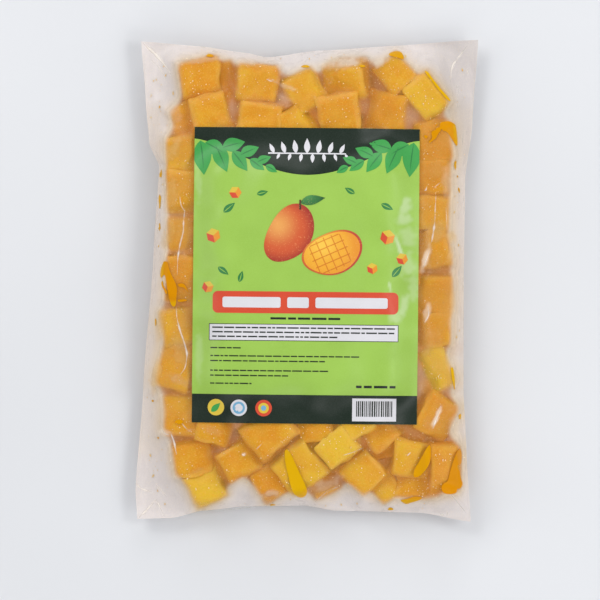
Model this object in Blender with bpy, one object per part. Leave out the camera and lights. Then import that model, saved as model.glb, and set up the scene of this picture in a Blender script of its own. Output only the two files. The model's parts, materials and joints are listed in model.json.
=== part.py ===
"""A sealed clear bag of frozen mango chunks, lying on its back with its label up.

Two pieces: the bag, one solid out to the film that is drawn over its chunks, and the label stuck on its front.
The origin is under the middle of the bag, on the surface that it lies on. +Y runs to the bag's top edge, +Z up.
Lengths are in millimetres until the meshes are made, and the meshes are in metres.
"""

from typing import NamedTuple

import bpy
import numpy as np

METRES = 0.001

# Driving sizes, in millimetres
NOMINAL_HALF_WIDTH = 98.0  # the flat film's half width that the edge stations vary
NOMINAL_HALF_LENGTH = 141.0
PACK_HEIGHT = 45.0  # table to the top of the two layers of chunks, in the middle
ONE_LAYER = 23.0  # the pack's height near its sides, where one layer of chunks is left
FILL_HALF_WIDTH = 87.0  # how far the chunks reach to each side
FILL_HALF_LENGTH = 135.0
DOME_SQUARENESS = 2.8  # 2 is an ellipse in plan, and more is squarer
DOME_SHOULDER = 2.5  # how late the pack's height falls off towards its sides
RIM_HEIGHT = 10.0  # the folded sides and the sealed ends stick out this far above the table
RIM_WAVE = 1.8
RIM_THICKNESS = 1.0
FILM_CLEARANCE = 0.4  # from a chunk's surface to the outside of the film
FILM_PULL = -0.10  # how hard the upper film is drawn into the gaps between chunks, per millimetre
TABLE_PULL = -0.05  # how hard the lower film is pressed on the table
TIGHTENING_PASSES = 2500
SOFTENING_PASSES = 2  # the film's own stiffness rounds its edges over the chunks

LABEL_HALF_WIDTH = 68.0
LABEL_TOP = 92.5
LABEL_BOTTOM = -86.0
LABEL_THICKNESS = 0.35
LABEL_GAP = 0.3  # touching pieces keep this gap
LABEL_STIFFNESS_REACH = 9.0  # the label bridges hollows of about this radius

# Grid of the upper film: cells under the label, and in each strip between the label and the bag's edge. All are even,
# because the label and the lower film take every second line.
LABEL_COLUMNS, LABEL_ROWS = 36, 48
SIDE_COLUMNS, TOP_ROWS, BOTTOM_ROWS = 10, 14, 16

# Chunks
CHUNK_SIZE = 24.0
CHUNK_DEPTH = 23.0
LOW_SHARE = 0.92  # deepest chunk where the bag is low, as a share of the bag's height there
TWO_LAYERS = 32.0  # least height of the bag with a second layer in it
CHUNK_ROUNDING = 4.0  # radius of a chunk's edges
SKIRT_SLOPE = 1.9  # the film falls off from a chunk's edge no steeper than this
SKIRT_REACH = 9.0
RIM_SLOPE = 2.1  # and rises no steeper from the bag's edge
LAYER_PITCH = 26.0  # spacing of the chunks that are laid out by rule
LAYER_JITTER = 2.2
LAYER_TURN = 35.0  # degrees
REST_TILT = 7.0  # degrees that a chunk leans at most, by chance
LONGEST_SHARE, SHORTEST_SHARE = 1.06, 0.92
SEED = 20


class Placed(NamedTuple):
    """A chunk of the upper layer: its middle and its sides in plan, its turn and how far it sits below the top."""

    x: float
    y: float
    wide: float
    long: float
    turn: float
    sunk: float = 0.0
    lean: float = 0.0


# The upper layer where it shows round the label, strip by strip
ABOVE_LABEL = (
    Placed(-64, 122, 25, 24, 10, 0.5),
    Placed(-53, 120.5, 20, 24, 6, 10.0),
    Placed(-29, 118.5, 24, 23, -4, 1.0),
    Placed(-1, 114.5, 20.5, 23.5, 28, 0.5, 8),
    Placed(25, 121, 24, 22, 8, 1.5, 12),
    Placed(53, 125, 19.5, 20.5, 40, 0.5),
    Placed(73, 111.5, 26, 19.5, -51, 0.0),
    Placed(-72.5, 97, 17, 20, 25, 1.0),
    Placed(-57, 99, 22, 24, 14, 0.5),
    Placed(-28, 95, 26, 23, -9, 2.5),
    Placed(-6.5, 92.5, 21, 22, 38, 3.0),
    Placed(20, 99, 25, 25, 9, 1.0),
    Placed(48.5, 101, 22.5, 23, -8, 5.0),
)
RIGHT_OF_LABEL = (
    Placed(77, 84, 24, 23, 6, 0.5),
    Placed(76, 62, 23, 21, 0, 2.0),
    Placed(76.5, 41, 21.5, 20, -2, 1.0),
    Placed(76, 19, 22, 23, 10, 2.0, 10),
    Placed(78, -7.5, 22.5, 22, 0, 0.5),
    Placed(77, -29, 23, 19.5, 1, 1.0),
    Placed(79, -51.5, 17, 26.5, 25, 0.5),
    Placed(77, -80.5, 21.5, 25.5, -28, 1.0, 10),
)
LEFT_OF_LABEL = (
    Placed(-74, 76.5, 21, 22, 2, 1.0),
    Placed(-74, 54, 20.5, 25, 2, 1.5),
    Placed(-73.5, 28.5, 20, 19, 1, 2.0),
    Placed(-75, 2, 21, 28, -3, 0.5),
    Placed(-77, -27, 21.5, 22, 13, 1.5),
    Placed(-78.5, -52.5, 22, 25, -15, 1.0),
    Placed(-76, -81, 22, 23.5, 0, 0.5),
)
BELOW_LABEL = (
    Placed(-55, -88, 20, 19, -15, 4.0),
    Placed(-23, -90, 27, 25, 40, 0.5),
    Placed(5, -86, 20, 20, 10, 4.0),
    Placed(31, -84, 18, 18, 30, 3.0),
    Placed(43.5, -90, 19, 19, 40, 5.0),
    Placed(-68.5, -106, 25.5, 21, 8, 0.5),
    Placed(-41, -108, 21, 20, 30, 0.5),
    Placed(-4, -111, 26, 26, 37, 0.0, 14),
    Placed(18.5, -99.5, 22.5, 18.5, 38, 0.0),
    Placed(62.5, -105.5, 22, 21, -9, 0.0, 8),
    Placed(82.5, -112, 19.5, 30, 0, 1.5, 12),
    Placed(34, -114, 21.5, 22, 44, 0.5),
    Placed(-60, -123, 22.5, 23, 24, 0.0),
    Placed(-22, -121, 18.5, 20.5, 32, 1.0),
    Placed(48, -123.5, 15.5, 16.5, 35, 2.0),
    Placed(67, -122.5, 24, 17.5, -3, 1.0),
    Placed(11, -123, 18, 13, 25, 8.0),
)
UNDER_LABEL_HALF = (52.0, 66.0)  # half sizes of the area that the laid-out upper chunks fill
UNDER_LABEL_MIDDLE = (0.0, 3.0)
LOWER_LAYER_HALF = (68.0, 108.0)
LOWER_LAYER_MIDDLE = (0.0, 0.0)

# Stations along each edge of the bag: where along the edge, and how far out the edge lies there
LEFT_EDGE = ((-141, -101.5), (-125, -102.5), (-67, -98), (20, -91.5), (69, -88.3), (83, -94.2), (110, -96.5), (141, -99))
RIGHT_EDGE = ((-141, 99), (-103, 96.5), (-65, 94.7), (0, 94.8), (61, 95.7), (94, 100), (141, 103.5))
TOP_EDGE = ((-98, 144), (-64, 141.2), (-38, 137.5), (-23, 134.5), (8, 138.6), (53, 141.4), (98, 145))
BOTTOM_EDGE = ((-98, -143), (-80, -142.5), (-62, -138), (-36, -135.5), (-1, -135), (18, -138), (68, -139.2), (98, -144.6))

MATERIALS = {
    "bag": ((0.84, 0.50, 0.14, 1.0), 0.3),
    "label": ((0.35, 0.57, 0.10, 1.0), 0.35),
}


class Boxes(NamedTuple):
    """The chunks as turned boxes: middles and half sizes, n by 3, and axes, n by 3 by 3 with an axis in each column."""

    middles: np.ndarray
    halves: np.ndarray
    axes: np.ndarray


def smooth_step(t):
    """0 to 1 with level ends: t squared times (3 - 2 t)."""
    t = np.clip(t, 0.0, 1.0)
    return t * t * (3.0 - 2.0 * t)


def along_edge(stations, at):
    """The edge's distance out at each place along it: a smooth step from each station to the next."""
    places, outs = np.array(stations, float).T
    i = np.clip(np.searchsorted(places, at, side="right") - 1, 0, len(places) - 2)
    share = (at - places[i]) / (places[i + 1] - places[i])
    straight = np.clip(share, 0.0, 1.0)
    share = 0.5 * (straight + smooth_step(share))
    return outs[i] + share * (outs[i + 1] - outs[i])


def pack_height(x, y):
    """Height of the upper chunks' tops over the table: a squarish dome, one layer high at its sides."""
    across = np.abs(x / FILL_HALF_WIDTH) ** DOME_SQUARENESS
    along = np.abs(y / FILL_HALF_LENGTH) ** DOME_SQUARENESS
    radius = np.clip((across + along) ** (1.0 / DOME_SQUARENESS), 0.0, 1.0)
    return ONE_LAYER + (PACK_HEIGHT - ONE_LAYER) * (1.0 - radius**DOME_SHOULDER)


def turned(turn, lean, towards):
    """Axes of a chunk in columns: turned about Z, then leaned by an angle in the direction towards. In degrees."""
    turn, lean, towards = np.radians([turn, lean, towards])
    cos, sin = np.cos(turn), np.sin(turn)
    about_z = np.array([[cos, -sin, 0.0], [sin, cos, 0.0], [0.0, 0.0, 1.0]])
    hinge = np.array([-np.sin(towards), np.cos(towards), 0.0])
    cross = np.array([[0, -hinge[2], hinge[1]], [hinge[2], 0, -hinge[0]], [-hinge[1], hinge[0], 0]])
    leaned = np.eye(3) + np.sin(lean) * cross + (1.0 - np.cos(lean)) * cross @ cross
    return leaned @ about_z


def laid_out(middle, half, chance):
    """Chunks in jittered rows that fill a rectangle: their x, y, wide, long and turn."""
    for row in np.arange(-half[1] + LAYER_PITCH / 2, half[1], LAYER_PITCH):
        for column in np.arange(-half[0] + LAYER_PITCH / 2, half[0], LAYER_PITCH):
            x, y = np.array(middle) + (column, row) + chance.uniform(-LAYER_JITTER, LAYER_JITTER, 2)
            wide, long = CHUNK_SIZE * chance.uniform(SHORTEST_SHARE, LONGEST_SHARE, 2)
            yield Placed(x, y, wide, long, chance.uniform(-LAYER_TURN, LAYER_TURN), chance.uniform(0.0, 3.0))


def chunk_boxes():
    """All chunks: the upper layer follows the dome, and the lower one rests on the table."""
    chance = np.random.default_rng(SEED)
    upper = [*ABOVE_LABEL, *RIGHT_OF_LABEL, *LEFT_OF_LABEL, *BELOW_LABEL]
    upper += laid_out(UNDER_LABEL_MIDDLE, UNDER_LABEL_HALF, chance)
    lower = laid_out(LOWER_LAYER_MIDDLE, LOWER_LAYER_HALF, chance)
    lower = [place for place in lower if pack_height(place.x, place.y) > TWO_LAYERS]
    middles, halves, axes = [], [], []
    for place in upper + lower:
        depth = CHUNK_DEPTH * chance.uniform(SHORTEST_SHARE, LONGEST_SHARE)
        towards = chance.uniform(0.0, 360.0)
        lean = place.lean + chance.uniform(0.0, REST_TILT)
        resting = len(middles) >= len(upper)
        frame = turned(place.turn, 0.0 if resting else lean, towards)
        room = pack_height(place.x, place.y) - place.sunk
        half = np.array([place.wide, place.long, depth if resting else min(depth, LOW_SHARE * room)]) / 2
        reach = np.abs(frame[2]) @ half
        top = reach * 2 if resting else room
        middles.append([place.x, place.y, max(top - reach, reach + FILM_CLEARANCE)])
        halves.append(half)
        axes.append(frame)
    return Boxes(np.array(middles), np.array(halves), np.array(axes))


def rounded_off(to_faces):
    """How far a rounded edge lies inside a box's sharp one, from a surface point's distances to the box's faces."""
    nearness = np.sort(np.maximum(CHUNK_ROUNDING - to_faces, 0.0), axis=-1)[..., :2]
    left = CHUNK_ROUNDING**2 - (nearness**2).sum(-1)
    return CHUNK_ROUNDING - np.sqrt(np.maximum(left, 0.0))


def upper_and_lower(boxes, x, y):
    """Highest and lowest chunk surface over each point, where a vertical line enters and leaves a box.

    Points with no chunk over them have -inf and +inf.
    """
    highest = np.full(x.shape, -np.inf)
    lowest = np.full(x.shape, np.inf)
    for middle, half, frame in zip(*boxes):
        aside = np.stack([x - middle[0], y - middle[1]], axis=-1) @ frame[:2, :2]
        gap = np.linalg.norm(np.maximum(np.abs(aside) - half[:2], 0.0), axis=-1)
        skirt = middle[2] + np.abs(frame[2]) @ half - CHUNK_ROUNDING / 2 - SKIRT_SLOPE * gap
        highest = np.where((gap > 0.0) & (gap < SKIRT_REACH), np.maximum(highest, skirt), highest)
        steps = np.stack([x - middle[0], y - middle[1], np.full(x.shape, -middle[2])], axis=-1) @ frame
        rise = np.where(np.abs(frame[2]) < 1e-9, 1e-9, frame[2])
        ends = np.sort(np.stack([(-half - steps) / rise, (half - steps) / rise]), axis=0)
        enters, leaves = ends[0].max(-1), ends[1].min(-1)
        hit = enters < leaves
        drops = [rounded_off(half - np.abs(steps + z[..., None] * frame[2])) for z in (leaves, enters)]
        highest = np.where(hit, np.maximum(highest, leaves - drops[0]), highest)
        lowest = np.where(hit, np.minimum(lowest, enters + drops[1]), lowest)
    return highest, lowest


def film_plan():
    """Plan of the film's grid, and how far each point is from the bag's edge.

    The grid has straight lines under the label, and is spread to the bag's edges around it.
    """
    columns = np.concatenate([
        np.linspace(-NOMINAL_HALF_WIDTH, -LABEL_HALF_WIDTH, SIDE_COLUMNS, endpoint=False),
        np.linspace(-LABEL_HALF_WIDTH, LABEL_HALF_WIDTH, LABEL_COLUMNS, endpoint=False),
        np.linspace(LABEL_HALF_WIDTH, NOMINAL_HALF_WIDTH, SIDE_COLUMNS + 1),
    ])
    rows = np.concatenate([
        np.linspace(-NOMINAL_HALF_LENGTH, LABEL_BOTTOM, BOTTOM_ROWS, endpoint=False),
        np.linspace(LABEL_BOTTOM, LABEL_TOP, LABEL_ROWS, endpoint=False),
        np.linspace(LABEL_TOP, NOMINAL_HALF_LENGTH, TOP_ROWS + 1),
    ])
    x, y = np.meshgrid(columns, rows, indexing="ij")
    left = np.clip((-LABEL_HALF_WIDTH - x) / (NOMINAL_HALF_WIDTH - LABEL_HALF_WIDTH), 0.0, 1.0)
    right = np.clip((x - LABEL_HALF_WIDTH) / (NOMINAL_HALF_WIDTH - LABEL_HALF_WIDTH), 0.0, 1.0)
    below = np.clip((LABEL_BOTTOM - y) / (LABEL_BOTTOM + NOMINAL_HALF_LENGTH), 0.0, 1.0)
    above = np.clip((y - LABEL_TOP) / (NOMINAL_HALF_LENGTH - LABEL_TOP), 0.0, 1.0)
    spread_x = left * (along_edge(LEFT_EDGE, y) + NOMINAL_HALF_WIDTH)
    spread_x += right * (along_edge(RIGHT_EDGE, y) - NOMINAL_HALF_WIDTH)
    spread_y = below * (along_edge(BOTTOM_EDGE, x) + NOMINAL_HALF_LENGTH)
    spread_y += above * (along_edge(TOP_EDGE, x) - NOMINAL_HALF_LENGTH)
    from_edge = np.minimum(NOMINAL_HALF_WIDTH - np.abs(x), NOMINAL_HALF_LENGTH - np.abs(y))
    return x + spread_x, y + spread_y, from_edge


def rim_height(x, y):
    """Height of the bag's edge over the table, which waves a little along it."""
    around = np.arctan2(y / NOMINAL_HALF_LENGTH, x / NOMINAL_HALF_WIDTH)
    return RIM_HEIGHT + RIM_WAVE * np.sin(3.0 * around + 0.6) * np.cos(5.0 * around)


def drawn_tight(height, x, y, floor, ceiling, load):
    """A film under even tension: each point moves to the mean of its four neighbours, weighted by how near they are,
    with the load added, and stays between the floor and the ceiling. The outermost points are held."""
    across = 1.0 / np.maximum(np.diff(x, axis=0), 0.1) ** 2
    along = 1.0 / np.maximum(np.diff(y, axis=1), 0.1) ** 2
    west, east = across[:-1, 1:-1], across[1:, 1:-1]
    south, north = along[1:-1, :-1], along[1:-1, 1:]
    total = west + east + south + north
    inside = (slice(1, -1), slice(1, -1))
    for _ in range(TIGHTENING_PASSES):
        drawn = west * height[:-2, 1:-1] + east * height[2:, 1:-1]
        drawn += south * height[1:-1, :-2] + north * height[1:-1, 2:]
        height[inside] = np.clip((drawn + load) / total, floor[inside], ceiling[inside])
    return height


def softened(height):
    """The sheet with its edges over the chunks rounded: each inner point moved half way to its neighbours' mean."""
    for _ in range(SOFTENING_PASSES):
        around = height[:-2, 1:-1] + height[2:, 1:-1] + height[1:-1, :-2] + height[1:-1, 2:]
        height[1:-1, 1:-1] = height[1:-1, 1:-1] / 2.0 + around / 8.0
    return height


def bridged(height, spacing):
    """A stiff sheet over the chunks: hollows narrower than its reach are closed, and edges are rounded off."""
    reach = max(1, round(LABEL_STIFFNESS_REACH / spacing))
    for _ in range(reach):
        padded = np.pad(height, 1, mode="edge")
        height = np.maximum.reduce([padded[1:-1, 1:-1], padded[:-2, 1:-1], padded[2:, 1:-1], padded[1:-1, :-2], padded[1:-1, 2:]])
    for _ in range(2 * reach):
        padded = np.pad(height, 1, mode="edge")
        height = (padded[:-2, 1:-1] + padded[2:, 1:-1] + padded[1:-1, :-2] + padded[1:-1, 2:]) / 4.0
    return height


def faceted_as_label(height):
    """Heights with every second line moved to the middle of its neighbours, as the label's coarser facets run."""
    height[1::2, ::2] = (height[:-1:2, ::2] + height[2::2, ::2]) / 2.0
    height[::2, 1::2] = (height[::2, :-1:2] + height[::2, 2::2]) / 2.0
    height[1::2, 1::2] = (height[:-1:2, :-1:2] + height[2::2, 2::2]) / 2.0
    return height


def film_sheets():
    """The film's plan and its upper and lower sheets' heights, drawn over the chunks and down on the table."""
    x, y, from_edge = film_plan()
    highest, lowest = upper_and_lower(chunk_boxes(), x, y)
    rim = rim_height(x, y)
    floor = np.where(np.isfinite(highest), highest + FILM_CLEARANCE, 0.0)
    floor = np.minimum(floor, rim + RIM_SLOPE * from_edge)
    columns = slice(SIDE_COLUMNS, SIDE_COLUMNS + LABEL_COLUMNS + 1)
    rows = slice(BOTTOM_ROWS, BOTTOM_ROWS + LABEL_ROWS + 1)
    under_label = floor[columns, rows]
    cell = 2.0 * LABEL_HALF_WIDTH / LABEL_COLUMNS
    floor[columns, rows] = bridged(under_label, cell)
    no_ceiling = np.full(x.shape, np.inf)
    upper = softened(drawn_tight(np.maximum(rim, floor), x, y, floor, no_ceiling, FILM_PULL))
    upper[columns, rows] = faceted_as_label(upper[columns, rows])
    ceiling = np.where(np.isfinite(lowest), np.maximum(lowest - FILM_CLEARANCE, 0.0), PACK_HEIGHT)
    lower = drawn_tight(np.minimum(rim, ceiling), x, y, np.zeros(x.shape), ceiling, TABLE_PULL)
    slack = np.maximum(RIM_THICKNESS - (upper - lower), 0.0) / 2.0
    for edge in ((0, slice(None)), (-1, slice(None)), (slice(None), 0), (slice(None), -1)):
        upper[edge] = lower[edge] = rim[edge]
        slack[edge] = RIM_THICKNESS / 2.0
    lower = np.maximum(lower - slack, 0.0)
    return x, y, np.maximum(upper + slack, lower + RIM_THICKNESS), lower


def sheet_faces(number):
    """Triangles of a grid of vertex numbers, facing up."""
    a, b = number[:-1, :-1].ravel(), number[1:, :-1].ravel()
    d, c = number[:-1, 1:].ravel(), number[1:, 1:].ravel()
    return np.concatenate([np.stack([a, b, c], axis=1), np.stack([a, c, d], axis=1)])


def ring_round(number):
    """The vertex numbers round a grid's edge, anticlockwise from above."""
    return np.concatenate([number[:, 0], number[-1, 1:], number[-2::-1, -1], number[0, -2:0:-1]])


def closed_block(x, y, upper, lower, lower_step=1):
    """Vertices and triangles of the block between two sheets, with a wall round its edge.

    The lower sheet takes every line of the grid, or every second one when lower_step is 2.
    """
    every = (slice(None, None, lower_step),) * 2
    points = [np.stack([part.ravel() for part in sheet], axis=-1) for sheet in ((x, y, upper), (x[every], y[every], lower[every]))]
    above = np.arange(x.size).reshape(x.shape)
    below = np.arange(x[every].size).reshape(x[every].shape) + x.size
    top, bottom = ring_round(above), ring_round(below)
    start, end = top[::lower_step], np.roll(top[::lower_step], -1)
    onward = np.roll(bottom, -1)
    if lower_step == 1:
        wall = [(start, bottom, onward), (start, onward, end)]
    else:
        between = top[1::2]
        wall = [(start, bottom, between), (between, bottom, onward), (between, onward, end)]
    wall = np.concatenate([np.stack(corners, axis=1) for corners in wall])
    return np.concatenate(points), np.concatenate([sheet_faces(above), sheet_faces(below)[:, ::-1], wall])


def material(name):
    """A plain Principled material with the piece's colour and roughness."""
    colour, roughness = MATERIALS[name]
    made = bpy.data.materials.new(name)
    made.use_nodes = True
    shader = made.node_tree.nodes["Principled BSDF"]
    shader.inputs["Base Color"].default_value = colour
    shader.inputs["Roughness"].default_value = roughness
    return made


def piece(name, points, faces):
    """An object of that name, its points given in millimetres."""
    mesh = bpy.data.meshes.new(name)
    mesh.from_pydata((points * METRES).tolist(), [], faces.tolist())
    mesh.shade_smooth()
    mesh.materials.append(material(name))
    made = bpy.data.objects.new(name, mesh)
    bpy.context.scene.collection.objects.link(made)
    return made


def main():
    """Builds the bag and its label."""
    for old in list(bpy.data.objects):
        bpy.data.objects.remove(old)
    x, y, upper, lower = film_sheets()
    to_middle = np.array([x.max() + x.min(), y.max() + y.min()]) / 2.0
    x, y = x - to_middle[0], y - to_middle[1]
    piece("bag", *closed_block(x, y, upper, lower, lower_step=2))
    label = (slice(SIDE_COLUMNS, SIDE_COLUMNS + LABEL_COLUMNS + 1, 2), slice(BOTTOM_ROWS, BOTTOM_ROWS + LABEL_ROWS + 1, 2))
    under = upper[label] + LABEL_GAP
    piece("label", *closed_block(x[label], y[label], under + LABEL_THICKNESS, under))


main()
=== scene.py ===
"""Looks of a sealed clear bag of frozen mango chunks, lying on its back with its label up.

The bag's film is one thin closed skin drawn over real chunks, with juice, beads of frost and creases of its
own, and a printed label stuck on its front. Lengths are millimetres in the bag's own plan until a mesh is
made, in metres.
"""

from __future__ import annotations

import json
import logging
from dataclasses import dataclass, field, replace
from enum import Enum
from typing import Callable, NamedTuple

import bpy
import numpy as np
from mathutils.geometry import delaunay_2d_cdt
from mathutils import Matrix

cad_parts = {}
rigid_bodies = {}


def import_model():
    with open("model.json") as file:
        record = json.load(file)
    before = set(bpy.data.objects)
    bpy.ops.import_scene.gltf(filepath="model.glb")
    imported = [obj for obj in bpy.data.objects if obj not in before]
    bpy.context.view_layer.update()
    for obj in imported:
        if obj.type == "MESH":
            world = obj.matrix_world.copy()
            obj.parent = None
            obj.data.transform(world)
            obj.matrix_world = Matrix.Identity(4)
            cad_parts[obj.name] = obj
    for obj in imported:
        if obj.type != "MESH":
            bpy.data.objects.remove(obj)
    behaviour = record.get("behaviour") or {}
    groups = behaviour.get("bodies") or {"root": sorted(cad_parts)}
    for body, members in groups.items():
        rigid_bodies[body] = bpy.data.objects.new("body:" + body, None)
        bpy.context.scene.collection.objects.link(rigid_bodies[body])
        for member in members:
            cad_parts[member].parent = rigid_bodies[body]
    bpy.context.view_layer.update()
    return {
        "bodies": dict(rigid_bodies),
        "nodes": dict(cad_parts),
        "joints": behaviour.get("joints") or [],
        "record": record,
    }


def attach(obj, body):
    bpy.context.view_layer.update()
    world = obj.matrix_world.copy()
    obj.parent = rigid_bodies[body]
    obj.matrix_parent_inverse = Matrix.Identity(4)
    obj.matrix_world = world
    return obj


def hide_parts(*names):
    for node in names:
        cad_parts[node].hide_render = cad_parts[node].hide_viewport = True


log = logging.getLogger("mango_bag")

METRES = 0.001
BODY = "root"
# Degrees past which an edge of a thin body is shaded sharp
SHARP_ANGLE = 50.0
Array = np.ndarray
Tree = bpy.types.NodeTree
Socket = bpy.types.NodeSocket
Colour = tuple[float, float, float, float]
# A rectangle's middle and half sizes
Area = tuple[tuple[float, float], tuple[float, float]]


# ---------------------------------------------------------------- plain sums


def smooth_step(t: Array | float) -> Array:
    """0 to 1 with level ends: t squared times (3 - 2 t), for t held between 0 and 1."""
    t = np.clip(t, 0.0, 1.0)
    return t * t * (3.0 - 2.0 * t)


def blend(a: Array | tuple, b: Array | tuple, share: Array) -> Array:
    """Colours from a to b as share goes from 0 to 1: a + (b - a) times share, channel by channel.

    Args:
        a: One colour, or one for each point.
        b: The same at share 1.
        share: One number for each point.

    Returns:
        A colour for each point.
    """
    a, b = np.asarray(a, float), np.asarray(b, float)
    return a + (b - a) * np.asarray(share)[..., None]


def along_edge(stations: tuple[tuple[float, float], ...], at: Array) -> Array:
    """An edge's distance out at each place along it, half straight and half a smooth step between stations.

    Args:
        stations: Pairs of a place along the edge and how far out the edge lies there.
        at: Places along the edge.

    Returns:
        Distances out.
    """
    places, outs = np.array(stations, float).T
    i = np.clip(np.searchsorted(places, at, side="right") - 1, 0, len(places) - 2)
    share = (at - places[i]) / (places[i + 1] - places[i])
    share = 0.5 * (np.clip(share, 0.0, 1.0) + smooth_step(share))
    return outs[i] + share * (outs[i + 1] - outs[i])


def soft_noise(x: Array, y: Array, wavelength: float, seed: int) -> Array:
    """Value noise from -1 to 1: random values on a square lattice, joined by smooth steps.

    Args:
        x: Places across.
        y: Places along.
        wavelength: Spacing of the lattice.
        seed: Starts the draw.

    Returns:
        One value for each place.
    """
    lattice = np.random.default_rng(seed).uniform(-1.0, 1.0, (64, 64))
    u, v = x / wavelength + 31.3, y / wavelength + 17.7
    i, j = np.floor(u).astype(int), np.floor(v).astype(int)
    s, t = smooth_step(u - i), smooth_step(v - j)
    near = lattice[i % 64, j % 64] * (1.0 - s) + lattice[(i + 1) % 64, j % 64] * s
    far = lattice[i % 64, (j + 1) % 64] * (1.0 - s) + lattice[(i + 1) % 64, (j + 1) % 64] * s
    return near * (1.0 - t) + far * t


def blurred(values: Array, passes: int) -> Array:
    """Each point moved half way to its four neighbours' mean, pass by pass. The edge repeats outwards."""
    pad = ((1, 1), (1, 1)) + ((0, 0),) * (values.ndim - 2)
    for _ in range(passes):
        p = np.pad(values, pad, mode="edge")
        values = values / 2.0 + (p[:-2, 1:-1] + p[2:, 1:-1] + p[1:-1, :-2] + p[1:-1, 2:]) / 8.0
    return values


def grown(values: Array, cells: int) -> Array:
    """Each point raised to its four neighbours' highest, that many times over."""
    for _ in range(cells):
        p = np.pad(values, 1, mode="edge")
        values = np.maximum.reduce([p[1:-1, 1:-1], p[:-2, 1:-1], p[2:, 1:-1], p[1:-1, :-2], p[1:-1, 2:]])
    return values


# ---------------------------------------------------------------- meshes


class Skin(NamedTuple):
    """A mesh to be: points in millimetres, faces, and named values for each point."""

    points: Array
    faces: Array
    values: dict[str, Array] = {}


def joined(skins: list[Skin]) -> Skin:
    """One skin out of several, with the values that the first of them has."""
    starts = np.cumsum([0] + [len(skin.points) for skin in skins[:-1]])
    faces = [skin.faces + start for skin, start in zip(skins, starts)]
    values = {name: np.concatenate([skin.values[name] for skin in skins]) for name in skins[0].values}
    return Skin(np.concatenate([skin.points for skin in skins]), np.concatenate(faces), values)


def make_piece(
    name: str, skin: Skin, material: bpy.types.Material, sharp: float = 180.0
) -> bpy.types.Object:
    """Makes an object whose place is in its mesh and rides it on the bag's body.

    Args:
        name: The piece's name.
        skin: Its points, faces and values.
        material: Its finish.
        sharp: Degrees past which an edge is shaded sharp.

    Returns:
        The new object.
    """
    mesh = bpy.data.meshes.new(name)
    corners = skin.faces.shape[1]
    mesh.vertices.add(len(skin.points))
    mesh.vertices.foreach_set("co", (skin.points * METRES).astype(np.float32).ravel())
    mesh.loops.add(skin.faces.size)
    mesh.loops.foreach_set("vertex_index", skin.faces.astype(np.int32).ravel())
    mesh.polygons.add(len(skin.faces))
    mesh.polygons.foreach_set("loop_start", np.arange(0, skin.faces.size, corners, dtype=np.int32))
    mesh.polygons.foreach_set("use_smooth", np.full(len(skin.faces), True))
    for title, numbers in skin.values.items():
        if numbers.ndim == 1:
            layer = mesh.attributes.new(title, "FLOAT", "POINT")
            layer.data.foreach_set("value", numbers.astype(np.float32))
        else:
            layer = mesh.attributes.new(title, "FLOAT_COLOR", "POINT")
            with_alpha = np.concatenate([numbers, np.ones((len(numbers), 1))], axis=1)
            layer.data.foreach_set("color", with_alpha.astype(np.float32).ravel())
    mesh.update(calc_edges=True)
    mesh.validate()
    if sharp < 180.0:
        mesh.set_sharp_from_angle(angle=np.radians(sharp))
    mesh.materials.append(material)
    piece = bpy.data.objects.new(name, mesh)
    bpy.context.scene.collection.objects.link(piece)
    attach(piece, BODY)
    log.info("%s: %d points, %d faces", name, len(skin.points), len(skin.faces))
    return piece


def sheet_faces(number: Array) -> Array:
    """Triangles of a grid of point numbers, facing up."""
    a, b = number[:-1, :-1].ravel(), number[1:, :-1].ravel()
    d, c = number[:-1, 1:].ravel(), number[1:, 1:].ravel()
    return np.concatenate([np.stack([a, b, c], axis=1), np.stack([a, c, d], axis=1)])


def ring_round(number: Array) -> Array:
    """The point numbers round a grid's edge, anticlockwise from above."""
    return np.concatenate([number[:, 0], number[-1, 1:], number[-2::-1, -1], number[0, -2:0:-1]])


def closed_block(x: Array, y: Array, upper: Array, lower: Array, lower_step: int = 1) -> Skin:
    """The closed block between two sheets on one grid, with a wall round its edge.

    Args:
        x: Grid points across.
        y: Grid points along.
        upper: Heights of the upper sheet.
        lower: Heights of the lower sheet.
        lower_step: 2 where the lower sheet takes every second line only, and 1 otherwise.

    Returns:
        The block's points and triangles, the upper sheet's points first.
    """
    every = (slice(None, None, lower_step),) * 2
    sheets = ((x, y, upper), (x[every], y[every], lower[every]))
    points = np.concatenate([np.stack([part.ravel() for part in sheet], axis=-1) for sheet in sheets])
    above = np.arange(x.size).reshape(x.shape)
    below = np.arange(x[every].size).reshape(x[every].shape) + x.size
    top, bottom = ring_round(above), ring_round(below)
    start, end, onward = top[::lower_step], np.roll(top[::lower_step], -1), np.roll(bottom, -1)
    if lower_step == 1:
        wall = [(start, bottom, onward), (start, onward, end)]
    else:
        between = top[1::2]
        wall = [(start, bottom, between), (between, bottom, onward), (between, onward, end)]
    walls = np.concatenate([np.stack(corners, axis=1) for corners in wall])
    return Skin(points, np.concatenate([sheet_faces(above), sheet_faces(below)[:, ::-1], walls]))


# ---------------------------------------------------------------- node trees


def set_inputs(tree: Tree, node: bpy.types.Node, inputs: dict) -> None:
    """Links a node's inputs to sockets or sets them to plain values, by name or number."""
    for name, value in inputs.items():
        if isinstance(value, Socket):
            tree.links.new(value, node.inputs[name])
        else:
            node.inputs[name].default_value = value


def add_node(tree: Tree, kind: str, inputs: dict | None = None, **settings) -> bpy.types.Node:
    """Adds a node to a tree.

    Args:
        tree: The node tree.
        kind: The node's type name.
        inputs: Values or sockets for its inputs, by name or number.
        settings: Its own properties.

    Returns:
        The node.
    """
    made = tree.nodes.new(kind)
    for name, value in settings.items():
        setattr(made, name, value)
    set_inputs(tree, made, inputs or {})
    return made


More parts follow.
